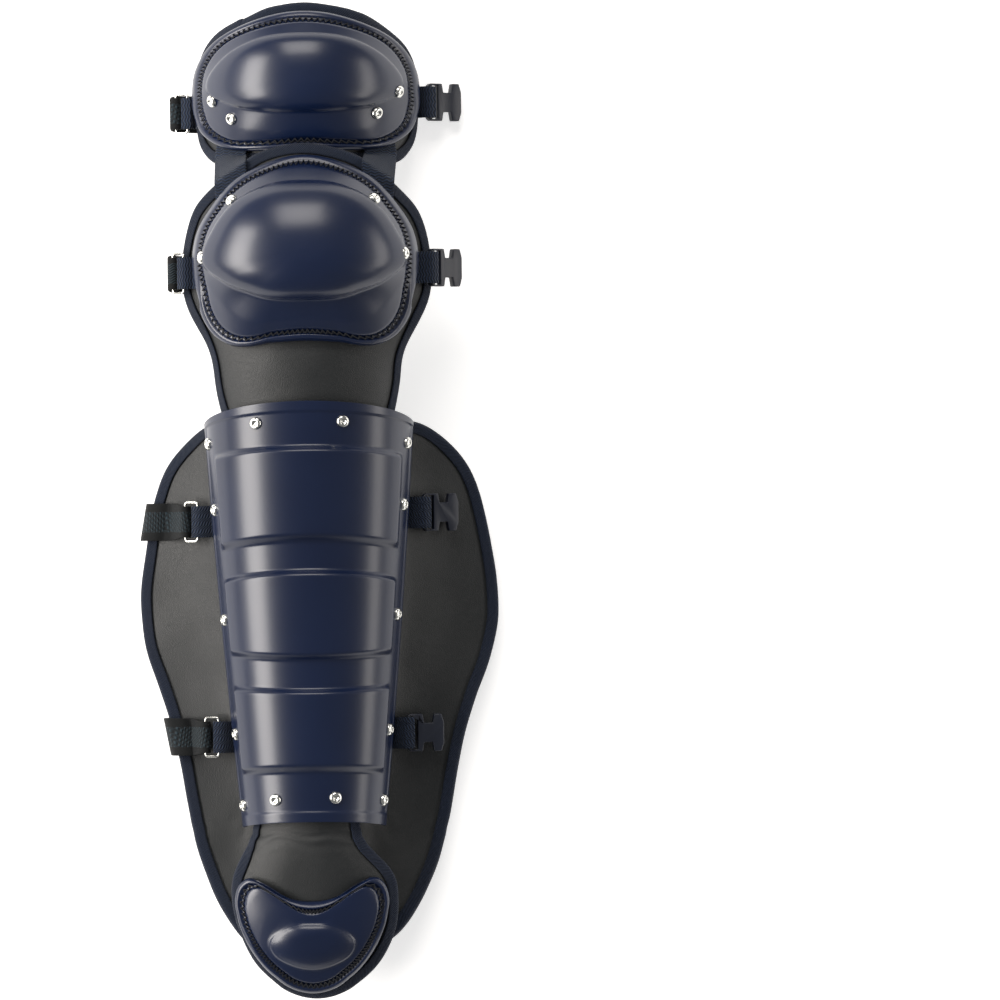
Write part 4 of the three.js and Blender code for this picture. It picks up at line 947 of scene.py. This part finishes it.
def regions_of(bm):
    """Groups of faces that meet at less than the face angle, largest first."""
    seen, groups = set(), []
    for start in bm.faces:
        if start in seen:
            continue
        seen.add(start)
        group, waiting = [], [start]
        while waiting:
            face = waiting.pop()
            group.append(face)
            for edge in face.edges:
                for other in edge.link_faces:
                    if other not in seen and other.normal.angle(face.normal) < FACE_ANGLE:
                        seen.add(other)
                        waiting.append(other)
        groups.append(group)
    return sorted(groups, key=lambda group: -sum(face.calc_area() for face in group))


def mean_height(group):
    area = sum(face.calc_area() for face in group)
    return sum(face.calc_center_median().z * face.calc_area() for face in group) / area


def foam(point):
    """How far the cover stands out or sinks at a place: soft patches, and fine creases at the ankle."""
    swell = FOAM_SWELL * noise.noise(point / (FOAM_PATCH * MM))
    y = point.y / MM - SHIFT.y
    away = abs(y - CREASE_Y) / CREASE_REACH
    bent = y + CREASE_BEND * noise.noise(point / (FOAM_PATCH * MM) + OTHER_NOISE)
    crease = CREASE_DEEP * max(0.0, 1 - away) * math.sin(2 * math.pi * bent / CREASE_STEP)
    return (swell + crease) * MM


def add_pad(node):
    bm = merged_copy(node)
    bmesh.ops.join_triangles(
        bm, faces=bm.faces, angle_face_threshold=FACE_ANGLE, angle_shape_threshold=math.pi, cmp_seam=False
    )
    bm.normal_update()
    front, back = sorted(regions_of(bm)[:2], key=mean_height, reverse=True)
    hem, hem_from, hem_reach = HEMS.get(node, (0.0, 0.0, 1.0))
    for v in bm.verts:
        v.co.y += hem * MM * soft_step((v.co.y / MM - SHIFT.y - hem_from) / hem_reach)
    crease = bm.edges.layers.float.new("crease_edge")
    for face in back:
        face.material_index = 1
    for group in (front, back):
        inside = set(group)
        for edge in {edge for face in group for edge in face.edges}:
            if sum(face in inside for face in edge.link_faces) == 1:
                edge[crease] = 1.0
                edge.seam = True
    pad = add_piece(node + "_cover", bm, dark_leather, [node], [black_cloth])
    add_smoothing(pad, PAD_LEVELS)
    bpy.context.view_layer.update()
    smooth = bpy.data.meshes.new_from_object(pad.evaluated_get(bpy.context.evaluated_depsgraph_get()))
    pad.modifiers.clear()
    pad.data = smooth
    moves = [vertex.normal * foam(vertex.co) for vertex in smooth.vertices]
    for vertex, move in zip(smooth.vertices, moves):
        vertex.co += move
    return pad


pads = {node: add_pad(node) for node in ("thigh_pad", "knee_pad", "shin_pad", "foot_pad")}
for node, pad in pads.items():
    print(node, len(pad.data.polygons), "faces", sum(edge.use_seam for edge in pad.data.edges), "rim edges")

# %% [markdown]
# On the leg side, a small washer holds the foot of each rivet that sits in the shell's flanges. A ray
# from the hollow finds the cloth behind the rivet, and the cloth is drawn in and puckered round it.

# %% Washers and puckers on the back
WASHER_PROFILE = [(0.0, 0.4), (1.1, 0.45), (1.5, 0.9), (2.4, 1.0), (3.4, 0.8), (4.0, 0.3), (4.05, -1.0)]
FLANGE_TILT = 0.6
WASHERS_BELOW = 20.0
HOLLOW_REACH = 32.0
PUCKER_REACH = 18.0
PUCKER_DEEP = 2.0
PUCKER_FOLDS = 6
FOLD_DEEP = 0.8
FACING = 0.2
PEAK = 4


def pucker(mesh, normals, finder, point, out):
    """Draws the cloth in round a washer, with soft folds that run away from it."""
    side = out.orthogonal().normalized()
    other = out.cross(side)
    found = finder.find_range(point, PUCKER_REACH * MM)
    for place, index, distance in found:
        if normals[index].dot(out) <= FACING:
            continue
        apart = place - point
        near = 1 - distance / (PUCKER_REACH * MM)
        fold = math.sin(PUCKER_FOLDS * math.atan2(apart.dot(other), apart.dot(side)))
        drawn = PUCKER_DEEP * near**2 + FOLD_DEEP * fold * near * (1 - near) * PEAK
        mesh.vertices[index].co -= out * drawn * MM


cover = pads["shin_pad"].data
surface = BVHTree.FromPolygons([v.co for v in cover.vertices], [face.vertices for face in cover.polygons])
washers = []
for node in rivets:
    seat, normal = rivet_seat(node)
    below = seat.y / MM - SHIFT.y < WASHERS_BELOW
    if node.startswith("shin") and abs(normal.x) > FLANGE_TILT and below:
        point, out, index, distance = surface.ray_cast(seat - normal * HOLLOW_REACH * MM, normal)
        if point is not None:
            washers.append((node, point, out))
finder = KDTree(len(cover.vertices))
for vertex in cover.vertices:
    finder.insert(vertex.co, vertex.index)
finder.balance()
cover_normals = [vertex.normal.copy() for vertex in cover.vertices]
for node, point, out in washers:
    pucker(cover, cover_normals, finder, point, out)
    bm = stud(WASHER_PROFILE, point - out * PUCKER_DEEP * MM, out)
    add_piece(node + "_washer", bm, bright_nickel)
cover.update()
print("washers on the back:", len(washers))

# %% [markdown]
# Woven tape is folded round the rim of each pad. The pad's two rims are the edges that were marked
# before it was rounded. At each step along them a short section runs from the front face, round the
# edge, to the back face, and rests on the pad wherever it lies on it.

# %% Tape round the rims
TAPE_LIP = 6.6
TAPE_RISE = 0.45
TAPE_OUT = 1.0
TAPE_RESTS = (1.0, 0.72, 0.4)
FOLD_ABOVE = 0.55
FOLD_INSIDE = 0.6
EDGE_ABOVE = 0.05
EDGE_OUT = 0.7


def rim_loops(mesh):
    """The two closed rims of a pad, as lists of points, the higher one first."""
    joined = {}
    for edge in mesh.edges:
        if edge.use_seam:
            a, b = edge.vertices
            joined.setdefault(a, []).append(b)
            joined.setdefault(b, []).append(a)
    loops, seen = [], set()
    for start in joined:
        if start in seen:
            continue
        loop, here, last = [], start, None
        while here not in seen:
            seen.add(here)
            loop.append(mesh.vertices[here].co.copy())
            ahead = [v for v in joined[here] if v != last and v not in seen]
            last = here
            here = ahead[0] if ahead else start
        loops.append(loop)
    loops.sort(key=len, reverse=True)
    return sorted(loops[:2], key=lambda loop: -sum(point.z for point in loop) / len(loop))


def turned_like(loop, model):
    """The loop started at, and walked the same way as, another one."""
    count = len(loop)
    start = min(range(count), key=lambda k: (loop[k] - model[0]).length)
    ahead = (loop[(start + 3) % count] - model[3]).length < (loop[start - 3] - model[3]).length
    return [loop[(start + k if ahead else start - k) % count] for k in range(count)]


def add_tape(node, pad):
    front, back = rim_loops(pad.data)
    back = turned_like(back, front)
    area = sum(a.x * b.y - b.x * a.y for a, b in zip(front, front[1:] + front[:1]))
    way = 1 if area > 0 else -1
    surface = BVHTree.FromObject(pad, bpy.context.evaluated_depsgraph_get())
    count = min(len(front), len(back))
    sections, along = [], [0.0]
    for k in range(count):
        ahead, behind = front[(k + 1) % count], front[k - 1]
        up = (front[k] - back[k]).normalized()
        out = (ahead - behind).cross(up).normalized() * way

        def lying(edge, inwards):
            point, normal, index, distance = surface.find_nearest(edge - out * inwards * MM)
            return point + normal * TAPE_RISE * MM

        f, b = front[k], back[k]
        sections.append([
            *(lying(f, TAPE_LIP * rest) for rest in TAPE_RESTS),
            f + (up * FOLD_ABOVE - out * FOLD_INSIDE) * MM,
            f + (up * EDGE_ABOVE + out * EDGE_OUT) * MM,
            (f * 2 + b) / 3 + out * TAPE_OUT * MM,
            (f + b * 2) / 3 + out * TAPE_OUT * MM,
            b + (up * -EDGE_ABOVE + out * EDGE_OUT) * MM,
            b + (up * -FOLD_ABOVE - out * FOLD_INSIDE) * MM,
            *(lying(b, TAPE_LIP * rest) for rest in reversed(TAPE_RESTS)),
        ])
        along.append(along[-1] + (ahead - f).length)
    rows = len(sections[0])

    def corner(i, j):
        section = sections[i % count]
        across = sum((section[n + 1] - section[n]).length for n in range(j))
        return section[j], (along[i], across)

    bm = grid_sheet(count + 1, rows, corner, closed=True)
    bm.normal_update()
    bmesh.ops.recalc_face_normals(bm, faces=bm.faces)
    bm.normal_update()
    middle = sum(front, Vector()) / len(front)
    far = max(bm.faces, key=lambda face: (face.calc_center_median() - middle).length)
    if far.normal.dot(far.calc_center_median() - middle) < 0:
        bmesh.ops.reverse_faces(bm, faces=bm.faces)
    name = node.replace("_pad", "_binding")
    tape = add_piece(name + "_tape", bm, navy_tape, [name])
    add_modifier(tape, "SOLIDIFY", thickness=TAPE_THICK * MM, offset=1.0)
    add_smoothing(tape, 1)
    return tape


for node, pad in pads.items():
    add_tape(node, pad)
print("taped pads:", len(pads))

# %% [markdown]
# Webbing and elastic are flat strips that bend round wires, bars and edges. A merged copy of each
# strip's solid keeps its long edges sharp by creasing them, and its bends turn round under Subdivision
# Surface. Its UV map comes from walking along its edges from one end, so the weave follows the strip.

# %% Strips
STRIP_LEVELS = 3
START_REACH = 1.2
STRIP_CREASE = 0.9
SHARP_ANGLE = math.radians(60)


def walked_lengths(bm, starts):
    lengths = {v: 0.0 for v in starts}
    waiting = [(0.0, v.index, v) for v in starts]
    while waiting:
        length, index, v = heapq.heappop(waiting)
        if length > lengths[v]:
            continue
        for edge in v.link_edges:
            other = edge.other_vert(v)
            further = length + edge.calc_length()
            if further < lengths.get(other, math.inf) - 1e-9:
                lengths[other] = further
                heapq.heappush(waiting, (further, other.index, other))
    return lengths


def add_strip(node, finish):
    bm = merged_copy(node)
    bmesh.ops.join_triangles(
        bm, faces=bm.faces, angle_face_threshold=FACE_ANGLE, angle_shape_threshold=math.pi, cmp_seam=False
    )
    bm.normal_update()
    bm.verts.index_update()
    lengthways = "y" if node.startswith("link") else "x"
    middle = SHIFT.x * MM
    inwards = (lambda v: v.co.y) if lengthways == "y" else (lambda v: abs(v.co.x - middle))
    nearest = min(inwards(v) for v in bm.verts)
    lengths = walked_lengths(bm, [v for v in bm.verts if inwards(v) < nearest + START_REACH * MM])
    sides = [v.co.x if lengthways == "y" else v.co.y for v in bm.verts]
    centre = (min(sides) + max(sides)) / 2
    crease = bm.edges.layers.float.new("crease_edge")
    uv = bm.loops.layers.uv.new("UVMap")
    for edge in bm.edges:
        if edge.calc_face_angle(0) > SHARP_ANGLE:
            edge[crease] = STRIP_CREASE
    for face in bm.faces:
        for loop in face.loops:
            across = (loop.vert.co.x if lengthways == "y" else loop.vert.co.y) - centre
            length = lengths[loop.vert]
            loop[uv].uv = (across, length) if finish is elastic else (length, across)
    strip = add_piece(node + "_strip", bm, finish, [node])
    add_smoothing(strip, STRIP_LEVELS)
    return strip


for node in sorted(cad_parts):
    if node.startswith("link") or node.endswith(("_tab", "_web")):
        add_strip(node, navy_webbing)
    elif node.endswith("_strap"):
        add_strip(node, elastic)

# %% [markdown]
# The elastic hangs in bent wire loops. The solid loop of the frame gives the place and the slope. A
# grid rolled into a ring, and stretched to a long loop with round corners, gives the wire.

# %% Wire loops
RING_WIRE = 1.0
RING_CORNER = 2.0
RING_LENGTH = 28.0
RING_GAP = 9.0
WIRE_SIDES = 12
WIRE_STEPS = 72
CORNER_QUICK = 40
POLE = 0.999


def stretched(value):
    """Nearly 1 or -1 except close to 0, which makes a ring's sides straight."""
    if abs(value) >= POLE:
        return value
    return math.copysign(min(abs(value) * CORNER_QUICK, 1.0), value)


def add_ring(node):
    bm = merged_copy(node)
    middle = sum((v.co for v in bm.verts), Vector()) / len(bm.verts)
    square_x = sum((v.co.x - middle.x) ** 2 for v in bm.verts)
    square_z = sum((v.co.z - middle.z) ** 2 for v in bm.verts)
    cross = sum((v.co.x - middle.x) * (v.co.z - middle.z) for v in bm.verts)
    bm.free()
    slope = 0.5 * math.atan2(2 * cross, square_x - square_z)
    gap_way = Vector((math.cos(slope), 0, math.sin(slope)))
    up = Vector((-math.sin(slope), 0, math.cos(slope)))

    def corner(i, j):
        turn = 2 * math.pi * i / WIRE_STEPS
        tilt = 2 * math.pi * j / WIRE_SIDES
        out = RING_CORNER + RING_WIRE * math.cos(tilt)
        half_length = RING_LENGTH / 2 - RING_WIRE - RING_CORNER
        gap = out * math.cos(turn) + stretched(math.cos(turn)) * (RING_GAP / 2 - RING_CORNER)
        length = out * math.sin(turn) + stretched(math.sin(turn)) * half_length
        point = middle + (gap_way * gap + Vector((0, 1, 0)) * length + up * RING_WIRE * math.sin(tilt)) * MM
        return point, (i / WIRE_STEPS, j / WIRE_SIDES)

    bm = grid_sheet(WIRE_STEPS + 1, WIRE_SIDES + 1, corner, closed=True)
    bmesh.ops.recalc_face_normals(bm, faces=bm.faces)
    add_piece(node + "_wire", bm, bright_nickel, [node])


rings = sorted(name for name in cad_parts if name.endswith("_ring"))
for node in rings:
    add_ring(node)
print("wire loops:", len(rings))

# %% [markdown]
# The hook halves of the buckles are moulded plastic. The solid already has the right outline, so a
# merged copy of it is enough, with its edges rounded as a mould leaves them.

# %% Buckles
BUCKLE_ROUND = 0.7
BUCKLE_FLAT = math.radians(1)
BUCKLE_SHARP = math.radians(30)

buckles = sorted(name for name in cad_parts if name.endswith("_buckle"))
for node in buckles:
    bm = merged_copy(node)
    bmesh.ops.dissolve_limit(bm, angle_limit=BUCKLE_FLAT, verts=bm.verts, edges=bm.edges)
    sharp = [edge for edge in bm.edges if edge.calc_face_angle(0) > BUCKLE_SHARP]
    bmesh.ops.bevel(
        bm, geom=sharp, offset=BUCKLE_ROUND * MM, affect="EDGES", segments=3, profile=0.5, material=-1,
        clamp_overlap=True,
    )
    buckle = add_piece(node + "_hook", bm, black_plastic, [node])
    buckle.data.set_sharp_from_angle(angle=math.radians(35))
print("buckles:", len(buckles))

# %% [markdown]
# Behind the knee lies a round cushion sewn into four quarters round an oval middle, and behind the
# thigh a half moon. They face the leg, so only the back view shows them. Each is a spun disc that
# thins to its edge and is pulled in along its seams.

# %% Cushions on the back
KNEE_CUSHION = {"half": 65.0, "tall": 60.0, "y": 151.0, "thick": 16.0}
THIGH_CUSHION = {"half": 56.0, "tall": 31.0, "y": 276.0, "thick": 12.0}
ROUND_OUTLINE = [
    (0, 1), (0.383, 0.924), (0.707, 0.707), (0.924, 0.383), (1, 0), (0.924, -0.383), (0.707, -0.707),
    (0.383, -0.924), (0, -1),
]
HALF_MOON_OUTLINE = [
    (0, 0.95), (0.5, 0.93), (0.85, 0.85), (1, 0.6), (0.97, 0.1), (0.8, -0.5), (0.5, -0.88), (0, -1),
]
CUSHION_RINGS = [
    0, 0.08, 0.16, 0.24, 0.28, 0.3, 0.32, 0.34, 0.38, 0.45, 0.53, 0.61, 0.69, 0.77, 0.84, 0.9, 0.94, 0.97,
    0.99, 1,
]
CUSHION_SPOKES = 160
THIN_EDGE = 0.04
EDGE_POWER = 6
EDGE_SHARE = 0.75
MOON_POWER = 5
BUTTON_SIZE = 0.31
SEAM_HALF = 2.2
SEAM_DEEP = 0.55


def quartered(share, angle, radius):
    """How full the knee cushion is: pulled in round its middle and along four seams."""
    middle_seam = math.exp(-(((share - BUTTON_SIZE) * radius / SEAM_HALF) ** 2))
    quarter = (angle + math.pi / 4) % (math.pi / 2) - math.pi / 4
    seam = math.exp(-((math.sin(quarter) * share * radius / SEAM_HALF) ** 2)) if share > BUTTON_SIZE else 0
    edge = EDGE_SHARE * (1 - share**EDGE_POWER) ** 0.5 + (1 - EDGE_SHARE) * (1 - share**2)
    return edge * (1 - SEAM_DEEP * max(middle_seam, seam))


def half_moon(share, angle, radius):
    return (1 - share**MOON_POWER) ** 0.5


def add_cushion(node, height, size, outline, fullness):
    edge = radius_by_angle(outline)

    def place(share, angle, is_front):
        x = size["half"] * share * edge(angle) * math.sin(angle)
        y = size["y"] + size["tall"] * share * edge(angle) * math.cos(angle)
        full = 0 if is_front else size["thick"] * max(THIN_EDGE, fullness(share, angle, size["half"]))
        normal = arch_normal(height, x, y)
        base = Vector((x, y, height(x, y)))
        return placed(base - normal * (PAD_THICK + CLEAR + full))

    bm = spun_disc(CUSHION_RINGS, CUSHION_SPOKES, place, closed=True)
    cushion = add_piece(node + "_quilted", bm, black_cloth, [node])


add_cushion("knee_cushion", knee_height, KNEE_CUSHION, ROUND_OUTLINE, quartered)
add_cushion("thigh_cushion", thigh_height, THIGH_CUSHION, HALF_MOON_OUTLINE, half_moon)

# %% [markdown]
# The guard lies on a wide pale table under soft studio light: a large box on the left, a weaker strip
# on the right, and one towards the thigh that touches the tops of the domes.

# %% Floor and light
FLOOR_HALF = 6.0
FLOOR_BELOW = 0.5
WARM_WHITE = (1.0, 0.955, 0.905)
floor_mesh = bmesh.new()
bmesh.ops.create_grid(floor_mesh, x_segments=1, y_segments=1, size=FLOOR_HALF)
mesh = bpy.data.meshes.new("table")
floor_mesh.to_mesh(mesh)
floor_mesh.free()
table_top = bpy.data.objects.new("table", mesh)
SCENE.collection.objects.link(table_top)
table_top.location.z = -FLOOR_BELOW * MM
pale = finish_of(
    "pale_table",
    tone(244, 244, 244),
    tone(248, 248, 248),
    (0.8, 0.9),
    Emission_Color=(1.0, 1.0, 1.0, 1.0),
    Emission_Strength=0.55,
)
mesh.materials.append(pale)


def add_light(name, size, place, aim, power):
    light = bpy.data.lights.new(name, "AREA")
    light.shape = "RECTANGLE"
    light.size, light.size_y = size
    light.energy = power
    light.color = WARM_WHITE
    holder = bpy.data.objects.new(name, light)
    SCENE.collection.objects.link(holder)
    holder.location = place
    holder.rotation_euler = (Vector(aim) - Vector(place)).to_track_quat("-Z", "Y").to_euler()


add_light("left_box", (2.8, 1.1), (-2.3, 0.1, 1.5), (0, 0, 0), 125)
add_light("right_strip", (2.4, 0.6), (2.4, 0.0, 0.9), (0, 0, 0), 22)
add_light("thigh_box", (1.7, 1.5), (-0.2, 2.3, 2.1), (0, 0, 0), 50)
world = bpy.data.worlds.new("studio")
world.use_nodes = True
sky = world.node_tree.nodes["Background"].inputs
sky["Color"].default_value = (1.0, 1.0, 1.0, 1.0)
sky["Strength"].default_value = 0.22
SCENE.world = world
SCENE.view_settings.view_transform = "Standard"
